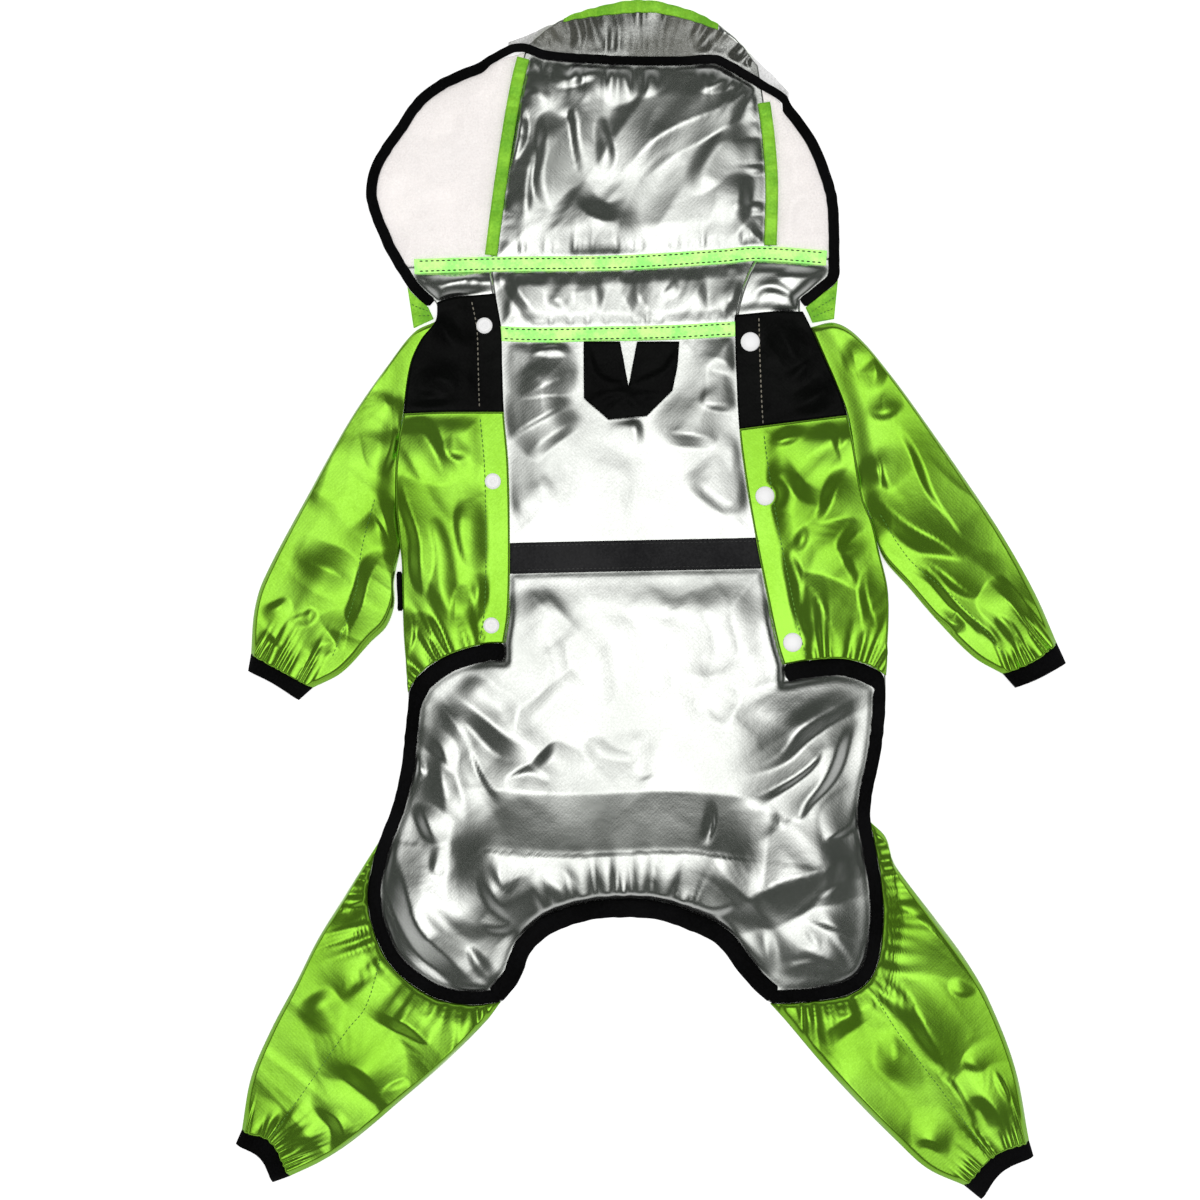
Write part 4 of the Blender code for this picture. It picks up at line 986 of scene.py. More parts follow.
class Wiring:
    """Adds nodes to a tree and joins them by the names of their sockets."""

    def __init__(self, tree: bpy.types.NodeTree) -> None:
        """Takes the tree to build in."""
        self.tree = tree

    def node(self, kind: str, settings: dict | None = None, **inputs: object) -> bpy.types.Node:
        """Adds a node.

        Args:
            kind: the node's type name.
            settings: its own properties.
            **inputs: what each input holds or is fed from. A number after an underscore at the start, as
                in _0, names an input by its place.

        Returns:
            The node.
        """
        made = self.tree.nodes.new(kind)
        for name, value in (settings or {}).items():
            setattr(made, name, value)
        for name, value in inputs.items():
            key = int(name[1:]) if name[1:].isdigit() else name.replace("_", " ")
            socket = made.inputs[key]
            if isinstance(value, bpy.types.NodeSocket):
                self.tree.links.new(value, socket)
            else:
                socket.default_value = value
        return made

    def maths(self, operation: str, first: object, second: object = 0.0) -> bpy.types.NodeSocket:
        """The result of a sum on two values."""
        return self.node("ShaderNodeMath", {"operation": operation}, _0=first, _1=second).outputs[0]

    def blend(self, factor: object, first: object, second: object) -> bpy.types.NodeSocket:
        """A colour between two colours."""
        made = self.node("ShaderNodeMix", {"data_type": "RGBA"}, _0=factor, _6=first, _7=second)
        return made.outputs[2]

    def noise(self, place: object, scale: float, detail: float = 2.0) -> bpy.types.NodeSocket:
        """Noise from 0 to 1."""
        return self.node("ShaderNodeTexNoise", Vector=place, Scale=scale, Detail=detail).outputs[0]

    def ramp(self, value: object, low: float, high: float) -> bpy.types.NodeSocket:
        """A value spread so that low gives 0 and high gives 1."""
        settings = {"interpolation_type": "SMOOTHSTEP"}
        return self.node("ShaderNodeMapRange", settings, _0=value, _1=low, _2=high).outputs[0]


def new_group(name: str, inputs: dict[str, float], output: str) -> tuple[Wiring, dict, bpy.types.Node]:
    """Starts a shader node group.

    Args:
        name: the group's name.
        inputs: its number inputs with their first values; it also has the vector Place.
        output: the name of its one output.

    Returns:
        The group's wiring, its input sockets by name and its output node.
    """
    tree = bpy.data.node_groups.new(name, "ShaderNodeTree")
    tree.interface.new_socket("Place", in_out="INPUT", socket_type="NodeSocketVector")
    for key, value in inputs.items():
        tree.interface.new_socket(key, in_out="INPUT", socket_type="NodeSocketFloat").default_value = value
    tree.interface.new_socket(output, in_out="OUTPUT", socket_type="NodeSocketFloat")
    wiring = Wiring(tree)
    entry = wiring.node("NodeGroupInput")
    return wiring, {socket.name: socket for socket in entry.outputs}, wiring.node("NodeGroupOutput")


def weave_group() -> bpy.types.NodeTree:
    """Makes the relief of a plain weave: two sets of threads at right angles, with slubs.

    Returns:
        The group, which puts out a height.
    """
    wiring, given, exit_node = new_group("weave", {"Threads": 2400.0}, "Height")
    parts = wiring.node("ShaderNodeSeparateXYZ", _0=given["Place"])
    turns = [wiring.maths("MULTIPLY", parts.outputs[k], given["Threads"]) for k in (0, 1)]
    waves = [wiring.maths("SINE", turn) for turn in turns]
    crossed = wiring.maths("MULTIPLY", *waves)
    slub = wiring.noise(given["Place"], 900.0, 1.0)
    height = wiring.maths("ADD", wiring.maths("MULTIPLY", crossed, 0.25), slub)
    wiring.tree.links.new(height, exit_node.inputs[0])
    return wiring.tree


def crumple_group() -> bpy.types.NodeTree:
    """Makes the relief of thin coated cloth that has been folded small: flat facets with soft edges.

    Returns:
        The group, which puts out a height.
    """
    wiring, given, exit_node = new_group("crumple", {"Scale": 60.0}, "Height")
    bent = wiring.noise(given["Place"], 28.0, 2.0)
    shift = wiring.node("ShaderNodeCombineXYZ", _0=wiring.maths("MULTIPLY", bent, 0.012),
                        _1=wiring.maths("MULTIPLY", bent, -0.009))
    spot = wiring.node("ShaderNodeVectorMath", {"operation": "ADD"}, _0=given["Place"], _1=shift.outputs[0])
    facets = wiring.node("ShaderNodeTexVoronoi", {"feature": "SMOOTH_F1"}, Vector=spot.outputs[0],
                         Scale=given["Scale"], Smoothness=0.35)
    ripple = wiring.noise(spot.outputs[0], 95.0, 3.0)
    height = wiring.maths("ADD", wiring.maths("MULTIPLY", facets.outputs[0], 0.6), ripple)
    wiring.tree.links.new(height, exit_node.inputs[0])
    return wiring.tree


def blotch_group() -> bpy.types.NodeTree:
    """Makes uneven colour, in large and small patches.

    Returns:
        The group, which puts out a mask from 0 to 1.
    """
    wiring, given, exit_node = new_group("blotches", {"Scale": 16.0, "Grain": 700.0}, "Mask")
    large = wiring.node("ShaderNodeTexNoise", Vector=given["Place"], Scale=given["Scale"], Detail=3.0)
    grain = wiring.node("ShaderNodeTexNoise", Vector=given["Place"], Scale=given["Grain"], Detail=1.0)
    mixed = wiring.maths("ADD", wiring.maths("MULTIPLY", large.outputs[0], 0.7),
                         wiring.maths("MULTIPLY", grain.outputs[0], 0.3))
    wiring.tree.links.new(wiring.ramp(mixed, 0.32, 0.68), exit_node.inputs[0])
    return wiring.tree


class Effects:
    """The node groups, each built once."""

    made: dict[str, bpy.types.NodeTree] = {}
    makers = {"weave": weave_group, "crumple": crumple_group, "blotches": blotch_group}

    @classmethod
    def place(cls, wiring: Wiring, name: str, **inputs: object) -> bpy.types.NodeSocket:
        """Puts a group in a material.

        Args:
            wiring: the material's wiring.
            name: which group.
            **inputs: what its inputs hold or are fed from.

        Returns:
            The group's output.
        """
        if name not in cls.made:
            cls.made[name] = cls.makers[name]()
        return wiring.node("ShaderNodeGroup", {"node_tree": cls.made[name]}, **inputs).outputs[0]


Colour = tuple[float, float, float, float]
FINISHED: dict[str, bpy.types.Material] = {}  # the materials made so far, by their finish's name


@dataclass(frozen=True)
class Finish:
    """A finish: two colours that mix over the surface, its gloss, and the relief that it has of its own.

    alpha holds how much of a clear finish shows where it is thinnest and thickest. threads and blotches set
    how fine the weave and the patches of colour are, and weave and crumple how deep its relief is, in metres.
    """

    name: str
    slot: str
    light: Colour
    dark: Colour
    roughness: float = 0.4
    roughness_spread: float = 0.08
    metallic: float = 0.0
    specular: float = 0.5
    # painted light: a glow in the finish's own colour that makes it brighter than the lamps do, though it is
    # no lamp
    painted_glow: float = 0.0
    alpha: tuple[float, float] | None = None
    blotches: float = 16.0
    threads: float = 2400.0
    weave: float = 0.00003
    crumple_scale: float = 60.0
    crumple: float = 0.0

    def material(self) -> bpy.types.Material:
        """Makes the finish's material at its first use.

        Returns:
            The material.
        """
        if self.name in FINISHED:
            return FINISHED[self.name]
        made = bpy.data.materials.new(self.name)
        FINISHED[self.name] = made
        made.use_nodes = True
        wiring = Wiring(made.node_tree)
        shader = made.node_tree.nodes["Principled BSDF"]
        place = wiring.node("ShaderNodeTexCoord").outputs["Object"]
        mask = Effects.place(wiring, "blotches", Place=place, Scale=self.blotches)
        links = made.node_tree.links
        colour = wiring.blend(mask, self.dark, self.light)
        links.new(colour, shader.inputs["Base Color"])
        # painted light: the finish gives off light in its own colour
        if self.painted_glow:
            links.new(colour, shader.inputs["Emission Color"])
            shader.inputs["Emission Strength"].default_value = self.painted_glow
        spread = wiring.maths("MULTIPLY", wiring.maths("SUBTRACT", mask, 0.5), self.roughness_spread)
        links.new(wiring.maths("SUBTRACT", self.roughness, spread), shader.inputs["Roughness"])
        shader.inputs["Metallic"].default_value = self.metallic
        shader.inputs["Specular IOR Level"].default_value = self.specular
        if self.alpha:
            see = wiring.node("ShaderNodeMapRange", _0=mask, _3=self.alpha[0], _4=self.alpha[1]).outputs[0]
            links.new(see, shader.inputs["Alpha"])
        height = Effects.place(wiring, "weave", Place=place, Threads=self.threads)
        bump = wiring.node("ShaderNodeBump", Height=height, Distance=self.weave, Strength=1.0)
        if self.crumple:
            folds = Effects.place(wiring, "crumple", Place=place, Scale=self.crumple_scale)
            bump = wiring.node("ShaderNodeBump", Height=folds, Distance=self.crumple, Strength=1.0,
                               Normal=bump.outputs[0])
        links.new(bump.outputs[0], shader.inputs["Normal"])
        return made


SILVER = Finish("silver_coating", "silver_lining", (0.76, 0.775, 0.75, 1), (0.66, 0.68, 0.65, 1),
                roughness=0.25, metallic=1.0, weave=0.00002, crumple=0.00015, crumple_scale=30)
GREEN = Finish("green_taffeta", "green_taffeta", (0.30, 0.64, 0.055, 1), (0.25, 0.56, 0.03, 1), roughness=0.2,
               metallic=0.85, weave=0.00002, crumple=0.00015, crumple_scale=34)
ELASTIC = Finish("black_elastic", "black_elastic", (0.004, 0.004, 0.0045, 1), (0.001, 0.001, 0.001, 1),
                 roughness=0.7, specular=0.06, threads=3600, weave=0.0002)
WAIST = Finish("black_waist_tape", "black_elastic", (0.022, 0.022, 0.023, 1), (0.008, 0.008, 0.009, 1),
               roughness=0.5, specular=0.15, threads=3600, weave=0.0001)
NYLON = Finish("black_nylon", "black_nylon", (0.003, 0.0035, 0.003, 1), (0.001, 0.001, 0.001, 1),
               roughness=0.36, specular=0.06, crumple=0.0006)
VINYL = Finish("clear_vinyl", "clear_vinyl", (0.96, 0.92, 0.90, 1), (0.88, 0.82, 0.79, 1), roughness=0.25,
               alpha=(0.30, 0.55), blotches=22, threads=600, weave=0.00001, crumple=0.001,
               crumple_scale=34)
# Painted shade: the brim's clear vinyl is coloured near black, far darker than the windows' vinyl, to stand
# in for the shade seen through it.
SHADED_BRIM_VINYL = Finish("shaded_clear_brim_vinyl", "clear_vinyl", (0.20, 0.20, 0.17, 1), (0.05, 0.05, 0.04, 1),
                    roughness=0.1, alpha=(0.14, 0.46), blotches=22, threads=600, weave=0.00001, crumple=0.004,
                    crumple_scale=34)
# The tape's glow is painted light: it stands in for the tape's fluorescence and lifts it above what the lamps
# give it.
FLUORESCENT = Finish("fluorescent_tape", "fluorescent_tape", (0.60, 1.0, 0.28, 1), (0.30, 0.90, 0.18, 1),
                     roughness=0.6, painted_glow=0.36, blotches=90, threads=3000, weave=0.0002)
TAPE_GREEN = Finish("green_seam_tape", "green_taffeta", (0.36, 0.84, 0.045, 1), (0.18, 0.55, 0.02, 1),
                    roughness=0.45, metallic=0.3, blotches=60, crumple=0.0012)
# The plastic's glow is painted light that brightens the snaps beyond what the lamps give them.
PLASTIC = Finish("white_plastic", "white_plastic", (0.95, 0.95, 0.95, 1), (0.92, 0.92, 0.92, 1),
                 roughness=0.28, painted_glow=0.06, weave=0.0)
DARK_THREAD, TAN_THREAD, GREEN_THREAD, GREY_THREAD = (
    Finish(name, slot, light, dark, roughness=0.6) for name, slot, light, dark in (
        ("dark_thread", "black_elastic", (0.02, 0.05, 0.02, 1), (0.01, 0.02, 0.01, 1)),
        ("tan_thread", "black_nylon", (0.30, 0.27, 0.21, 1), (0.16, 0.15, 0.12, 1)),
        ("green_thread", "green_taffeta", (0.14, 0.34, 0.03, 1), (0.07, 0.2, 0.02, 1)),
        ("grey_thread", "black_elastic", (0.05, 0.05, 0.05, 1), (0.02, 0.02, 0.02, 1)),
    )
)


# --- making the meshes


def grid_of(cells: tuple[int, int], place: Place, wrap: bool = False) -> bmesh.types.BMesh:
    """Lays a grid over a surface.

    Args:
        cells: how many columns and rows it has.
        place: where the shares u and v of its vertices go, in millimetres.
        wrap: whether its left and right sides are one line.

    Returns:
        The grid, in metres.
    """
    made = bmesh.new()
    bmesh.ops.create_grid(made, x_segments=cells[0], y_segments=cells[1], size=0.5)
    shares = np.array([vertex.co[:2] for vertex in made.verts]) + 0.5
    for vertex, spot in zip(made.verts, place(shares[:, 0], shares[:, 1]) * MM):
        vertex.co = spot
    if wrap:
        bmesh.ops.remove_doubles(made, verts=made.verts, dist=1e-6)
    return made


def piece_from(name: str, made: bmesh.types.BMesh, finishes: Sequence[Finish], nodes: Sequence[str] = ()
               ) -> bpy.types.Object:
    """Turns a finished mesh into a piece that rides on the garment.

    Args:
        name: the piece's name.
        made: its mesh, which is used up.
        finishes: its finish, and the one of its other side where it has two.
        nodes: the solids that it replaces.

    Returns:
        The piece.
    """
    mesh = bpy.data.meshes.new(name)
    made.to_mesh(mesh)
    made.free()
    mesh.shade_smooth()
    piece = bpy.data.objects.new(name, mesh)
    bpy.context.scene.collection.objects.link(piece)
    for finish in finishes:
        mesh.materials.append(finish.material())
    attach(piece, BODY)
    if nodes:
        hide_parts(*nodes)
    log.info("%s: %d faces", name, len(mesh.polygons))
    return piece


def give_wall(piece: bpy.types.Object, wall: float, other_side: int = 0) -> None:
    """Gives a piece its thickness.

    Args:
        piece: the piece, whose grid becomes its upper side.
        wall: how thick it gets.
        other_side: 1 where its second finish goes underneath.
    """
    solid = piece.modifiers.new("Wall", "SOLIDIFY")
    solid.thickness = wall * MM
    solid.offset = -1.0
    solid.material_offset = other_side


def declare(piece: bpy.types.Object, patch: Patch, layers: int = 1, fullness: float = 1.04,
            with_pieces: Sequence = ()) -> None:
    """Works out what a piece of cloth was cut to, its flat width, length and area, and does nothing with
    them.

    Args:
        piece: not used.
        patch: where it lies.
        layers: how many layers of it lie on each other.
        fullness: how much longer and wider it was cut than it lies, for its folds.
        with_pieces: not used.
    """
    width, length = patch.width * layers * fullness * MM, patch.length * fullness * MM
    area = min(patch.area() * layers * fullness ** 2 * MM ** 2, width * length)


@dataclass
class Panel:
    """A flat piece of cloth with its relief."""

    name: str
    patch: Patch
    relief: Relief
    top: float
    finishes: tuple[Finish, ...]
    wall: float = CLOTH_WALL
    nodes: tuple[str, ...] = ()
    cell: float = CELL

    def surface(self, points: Points) -> np.ndarray:
        """The height of the upper side at each point."""
        return self.top + self.relief.height(points)

    def build(self) -> bpy.types.Object:
        """Makes the panel.

        Returns:
            The piece.
        """
        def place(u: np.ndarray, v: np.ndarray) -> np.ndarray:
            """The upper side at shares u and v."""
            points = self.patch.at(u, v)
            return np.column_stack([points, self.surface(points)])

        made = grid_of(self.patch.cells(self.cell), place)
        piece = piece_from(self.name, made, self.finishes, self.nodes or (self.name,))
        give_wall(piece, self.wall, 1 if len(self.finishes) > 1 else 0)
        return piece


@dataclass
class Ribbon:
    """A folded elastic binding: a rounded run between two rows of points.

    base is the height that it lies on, waver how far it shifts to and fro, ripple how far its top rises and
    falls, and end_length the length over which its ends are rounded.
    """

    name: str
    outer: Points
    inner: Points
    base: Field | float = BINDING_BASE
    thickness: float = BINDING_THICKNESS
    ripple: float = 0.22
    nodes: tuple[str, ...] = ()
    round_steps: int = 16
    waver: float = 0.25
    end_length: float = 1.4
    knot_pitch: float = 4.0

    def build(self) -> bpy.types.Object:
        """Makes the binding, closed at both ends.

        Returns:
            The piece.
        """
        lines = Line(self.outer), Line(self.inner)
        length = (lines[0].length + lines[1].length) / 2
        rows = round(length / CELL)
        keys = np.linspace(0, 1, len(self.outer))
        chance = np.random.default_rng(len(self.name))
        knots = np.linspace(0, 1, max(4, round(length / self.knot_pitch)))
        uneven = chance.uniform(-1, 1, (3, len(knots)))

        def place(u: np.ndarray, v: np.ndarray) -> np.ndarray:
            """Lays the binding's skin.

            Args:
                u: shares of the way round its section.
                v: shares of its length.

            Returns:
                The point at each pair of shares.
            """
            turn = 2 * math.pi * u
            flat, tall = np.cos(turn), np.sin(turn)
            across = 0.5 + 0.5 * np.sign(flat) * np.abs(flat) ** 0.5
            up = 0.5 + 0.5 * np.sign(tall) * np.abs(tall) ** 0.6
            ends = np.sqrt(1 - (1 - np.clip(np.minimum(v, 1 - v) * length / self.end_length, 0, 1)) ** 2)
            across, up = 0.5 + (across - 0.5) * (0.6 + 0.4 * ends), 0.5 + (up - 0.5) * (0.4 + 0.6 * ends)
            sides = [np.stack([np.interp(v, keys, side[:, k]) for k in (0, 1)], axis=1)
                     for side in (self.outer, self.inner)]
            waver = np.interp(v, knots, uneven[0]) * self.waver
            gap = sides[1] - sides[0]
            unit = gap / np.linalg.norm(gap, axis=1, keepdims=True)
            spots = sides[0] + gap * across[:, None] + unit * waver[:, None]
            base = self.base(spots) if callable(self.base) else self.base
            swell = np.interp(v, knots, uneven[1]) * self.ripple * np.clip(up * 2 - 1, 0, 1)
            crown = 1 - 0.12 * (2 * across - 1) ** 2
            return np.column_stack([spots, base + self.thickness * up * crown + swell])

        made = grid_of((self.round_steps, rows), place, wrap=True)
        bmesh.ops.holes_fill(made, edges=[edge for edge in made.edges if edge.is_boundary], sides=0)
        bmesh.ops.recalc_face_normals(made, faces=made.faces)
        return piece_from(self.name, made, (ELASTIC,), self.nodes or (self.name,))


@dataclass
class Tube:
    """A limb or cuff: a flattened tube with rounded sides, open at both ends.

    rounding and under_rounding are how far from its sides it rises above and below.
    """

    name: str
    patch: Patch
    relief: Relief
    heights: tuple[float, float, float]  # at the bottom, in the middle and at the top
    finishes: tuple[Finish, ...]
    wall: float = CLOTH_WALL
    rounding: float = 4.5
    nodes: tuple[str, ...] = ()
    under_rounding: float = 4.0

    def surface(self, points: Points) -> np.ndarray:
        """The height of the upper side in the middle of the tube."""
        return self.heights[1] + self.relief.height(points)

    def build(self) -> bpy.types.Object:
        """Makes the tube.

        Returns:
            The piece.
        """
        columns, rows = self.patch.cells()
        low, middle, high = self.heights

        def place(u: np.ndarray, v: np.ndarray) -> np.ndarray:
            """Lays the tube's skin.

            Args:
                u: shares of the way round, over the top from left to right and back underneath.
                v: shares of its length.

            Returns:
                The point at each pair of shares.
            """
            share = np.where(u <= 0.5, 2 * u, 2 - 2 * u)
            across = np.clip(share - 0.09 * np.sin(2 * math.pi * share), 0, 1)
            points = self.patch.at(across, v)
            left, right = self.patch.at(np.zeros_like(v), v), self.patch.at(np.ones_like(v), v)
            away = np.minimum(across, 1 - across) * np.linalg.norm(right - left, axis=1)
            full = low + (middle - low) * ease(v, 0, 0.35) + (high - middle) * ease(v, 0.75, 1)
            over = full + self.relief.height(points)
            swell = np.sin(np.clip(away / self.rounding, 0, 1) * math.pi / 2)
            under = 1 - np.sqrt(1 - (1 - np.clip(away / self.under_rounding, 0, 1)) ** 2)
            height = np.where(u <= 0.5, full / 2 + (over - full / 2) * swell, full / 2 * under)
            return np.column_stack([points, height])

        made = grid_of((2 * columns, rows), place, wrap=True)
        piece = piece_from(self.name, made, self.finishes, self.nodes or (self.name,))
        give_wall(piece, self.wall, 1 if len(self.finishes) > 1 else 0)
        return piece


@dataclass
class Sewing:
    """Rows of stitches in one thread."""

    name: str
    finish: Finish
    rows: list[tuple[Line, Field]] = field(default_factory=list)
    stitch: float = 2.3
    pitch: float = 3.3
    width: float = 0.5

    def add(self, line: Line, surface: Field) -> None:
        """Adds a row along a line that lies on a surface."""
        self.rows.append((line, surface))

    def build(self) -> bpy.types.Object:
        """Makes every stitch, as a small rounded bar that lies on the cloth.

        Returns:
            The piece that they all make.
        """
        made = bmesh.new()
        for line, surface in self.rows:
            count = max(1, round(line.length / self.pitch))
            starts = (np.arange(count) + 0.5) / count
            half = self.stitch / 2 / line.length
            heads, tails = line.at(starts - half), line.at(starts + half)
            high = surface(np.concatenate([heads, tails]))
            for k in range(count):
                head = Vector((*heads[k], high[k])) * MM
                end = Vector((*tails[k], high[k + count])) * MM
                run = end - head
                size = Matrix.Diagonal((self.width * MM, self.width * 0.7 * MM, run.length / 2, 1))
                turn = run.to_track_quat("Z", "Y").to_matrix().to_4x4()
                spot = Matrix.Translation((head + end) / 2 + Vector((0, 0, STITCH_LIFT * MM)))
                bmesh.ops.create_uvsphere(made, u_segments=6, v_segments=4, radius=1.0,
                                          matrix=spot @ turn @ size)
        return piece_from(self.name, made, (self.finish,))


# --- the sub-assemblies


def outside(line: Line, width: float) -> Field:
    """The distance outside a piece that lies along a line and reaches a given way from it."""
    return lambda points: line.distance(points) - width


def between_fronts(points: Points) -> np.ndarray:
    """How far points lie from the front edges, into the opening between them."""
    left, right = (front.between("top", "hem").x_at(points[:, 1]) for front in (front_left, front_right))
    return np.minimum(points[:, 0] - left, right - points[:, 0])


def outside_belly(points: Points) -> np.ndarray:
    """Measures the back's distance from what lies on its sides.

    Args:
        points: rows of x, y.

    Returns:
        How far each point lies outside the belly panels and their hems.
    """
    x, y = points[:, 0], points[:, 1]
    left = x < 0
    below = np.where(left, hem_left.y_at(x), hem_right.y_at(x)) > y
    away = np.where(left, hem_left.distance(points), hem_right.distance(points)) - HEM_BINDING_WIDTH
    return np.maximum(between_fronts(points), np.where(below, away, -1.0))


def outside_yokes(points: Points) -> np.ndarray:
    """How far points of the hood's band lie outside the black yokes."""
    tops = [line.y_at(points[:, 0]) for line in (yoke_top_left, yoke_top_right)]
    return np.maximum(between_fronts(points), points[:, 1] - np.where(points[:, 0] < 0, *tops))


def outside_loop(points: Points) -> np.ndarray:
    """How far points lie outside the hang loop."""
    edge = Line((*HANG_LOOP, HANG_LOOP[0]))
    return np.minimum(edge.distance(points) - 1.0, np.linalg.norm(points - LOOP_CENTRE, axis=1) - LOOP_CORE)


def even_pairs(outer: Line, inner: Line, pitch: float = 2.0) -> tuple[Points, Points]:
    """Points at the same shares of two lines."""
    shares = np.linspace(0, 1, max(3, round(outer.length / pitch)))
    return outer.at(shares), inner.at(shares)


@dataclass
class Back:
    """The silver back in its two pieces, with the waist band, the hang loop and the tab at the side."""

    band_width: float = WAIST_BAND_WIDTH
    band_stitch_margin: float = 2.2
    tab_width: float = 3.8
    tab_ends: tuple[float, float] = (18.5, -7)
    tab_thickness: float = 1.6

    def covers(self) -> list[Field]:
        """Lists what lies on the back and keeps it flat.

        Returns:
            The distance outside each piece.
        """
        return [
            outside_belly,
            outside(waist_seam, self.band_width / 2),
            outside(neck_seam, TAPE_WIDTH / 2),
            outside_loop,
            outside(left_side.between("hem", "crotch"), SIDE_BINDING_WIDTH),
            outside(right_side.between("hem", "crotch"), SIDE_BINDING_WIDTH),
            outside(tail_edge, TAIL_BINDING_WIDTH),
        ]

    def build(self) -> None:
        """Makes the back and what is sewn on it."""
        upper = Patch(waist_seam, neck_seam, left_side.between("waist", "shoulder"),
                      right_side.between("waist", "shoulder"))
        lobes = left_side.between("heel", "crotch"), right_side.between("crotch", "heel")
        bottom = lobes[0].joined(tail_edge).joined(lobes[1])
        keys = [(0, 0), (CROTCH_SHARE, lobes[0].length / bottom.length),
                (1 - CROTCH_SHARE, 1 - lobes[1].length / bottom.length), (1, 1)]
        lower = Patch(KeyedLine(bottom, keys), waist_seam, left_side.between("heel", "waist"),
                      right_side.between("heel", "waist"))
        nape = Relief(
            0.0, NAPE_CREASES,
            (Gather(waist_seam.from_x(-90, 70), 11, 0.9, 12, 3), Gather(neck_seam, 12, 0.9, 12, 4)),
            (Ripples(11, 30, 2.6, 70, 26, calm=(-10, 75, 62)),), self.covers())
        tail_pleats = Gather(tail_edge.moved(TAIL_BINDING_WIDTH).from_x(-70, 32), 12, 3.2, 22, 5)
        rump = Relief(
            0.0, RUMP_CREASES, (RUMP_BAND, tail_pleats, Gather(waist_seam, 12, 0.8, 10, 6)),
            (Ripples(12, -42, 3.0, 84, 30, calm=(-15, -100, 125)),
             Ripples(14, 38, 2.2, 80, 26, calm=(-15, -105, 130))),
            self.covers(), fold_reach=6, edge=0.6)
        for name, patch, relief in (("back_upper", upper, nape), ("back_lower", lower, rump)):
            panel = Panel(f"{name}_cloth", patch, relief, TOP_OF_BACK, (SILVER, GREEN), BACK_WALL, (name,))
            declare(panel.build(), patch)
        self.waist_band()
        self.hang_loop()
        self.side_tab()

    def waist_band(self) -> None:
        """The black band over the waist seam, from one front edge to the other."""
        patch = cross_patch(waist_seam, ("hem", "yoke"), self.band_width)
        puckers = Gather(waist_seam.from_x(-92, -5), 7, 0.9, 8, 7)
        facets = Crumple(13, 160, (0.1, 0.3), (5, 14), (1, 2), (3, 8))
        relief = Relief(0.0, (), (puckers,), (facets,), small_reach=1.0)
        band = Panel("waist_band_tape", patch, relief, TOP_OF_TAPE, (WAIST,), TAPE_WALL, ("waist_band",))
        band.build()
        sewing = Sewing("waist_stitches", GREY_THREAD, stitch=1.9, pitch=2.9, width=0.4)
        reach = self.band_width / 2 - self.band_stitch_margin
        for shift in (-reach, reach):
            sewing.add(waist_seam.from_x(-89, 72).moved(shift), band.surface)
        sewing.build()

    def hang_loop(self) -> None:
        """The wide strap folded to a point, with a notch between its legs."""
        made = bmesh.new()
        corners = [made.verts.new((x * MM, y * MM, LOOP_TOP * MM)) for x, y in HANG_LOOP]
        made.faces.new(corners)
        for normal in ((1, 0, 0), (0, 1, 0)):
            for step in range(-LOOP_CUTS, LOOP_CUTS + 1):
                spot = Vector((*LOOP_CENTRE, 0)) * MM + Vector(normal) * step * LOOP_CELL * MM
                geometry = [*made.verts, *made.edges, *made.faces]
                bmesh.ops.bisect_plane(made, geom=geometry, plane_co=spot, plane_no=normal)
        points = np.array([vertex.co[:2] for vertex in made.verts]) / MM
        relief = Relief(0.0, LOOP_CREASES, small=(Ripples(15, 70, 0.9, 30, 12),))
        for vertex, rise in zip(made.verts, relief.height(points)):
            vertex.co.z += rise * MM
        piece = piece_from("hang_loop_strap", made, (NYLON,), ("hang_loop",))
        give_wall(piece, LOOP_THICKNESS)

    def side_tab(self) -> None:
        """The small black tab at the left side seam."""
        edge = left_side.between("waist", "hem").from_y(*self.tab_ends)
        Ribbon("side_tab_loop", *even_pairs(edge, edge.moved(-self.tab_width)), base=FLOOR_GAP,
               thickness=self.tab_thickness, nodes=("side_tab",)).build()


def cross_patch(seam: Line, stretch: tuple[str, str], width: float) -> Patch:
    """Lays a tape over a seam that crosses the back, from one front edge to the other.

    Args:
        seam: the seam.
        stretch: the stations between which it meets the front edges.
        width: the tape's width.

    Returns:
        Where the tape lies.
    """
    fronts = [front.between(*stretch) for front in (front_left, front_right)]
    ends = []
    for front in fronts:
        crossing = float(seam.y_at(front.on(seam.on(front.at(0.5)))[0]))
        ends.append(front.from_y(crossing - width / 2, crossing + width / 2))
    reach = seam.from_x(ends[0].at(0)[0] + width / 2, ends[1].at(0)[0] - width / 2)
    lines = [Line([ends[0].at(k), *reach.moved(shift).points, ends[1].at(k)])
             for k, shift in ((0, -width / 2), (1, width / 2))]
    return Patch(*lines, *ends)


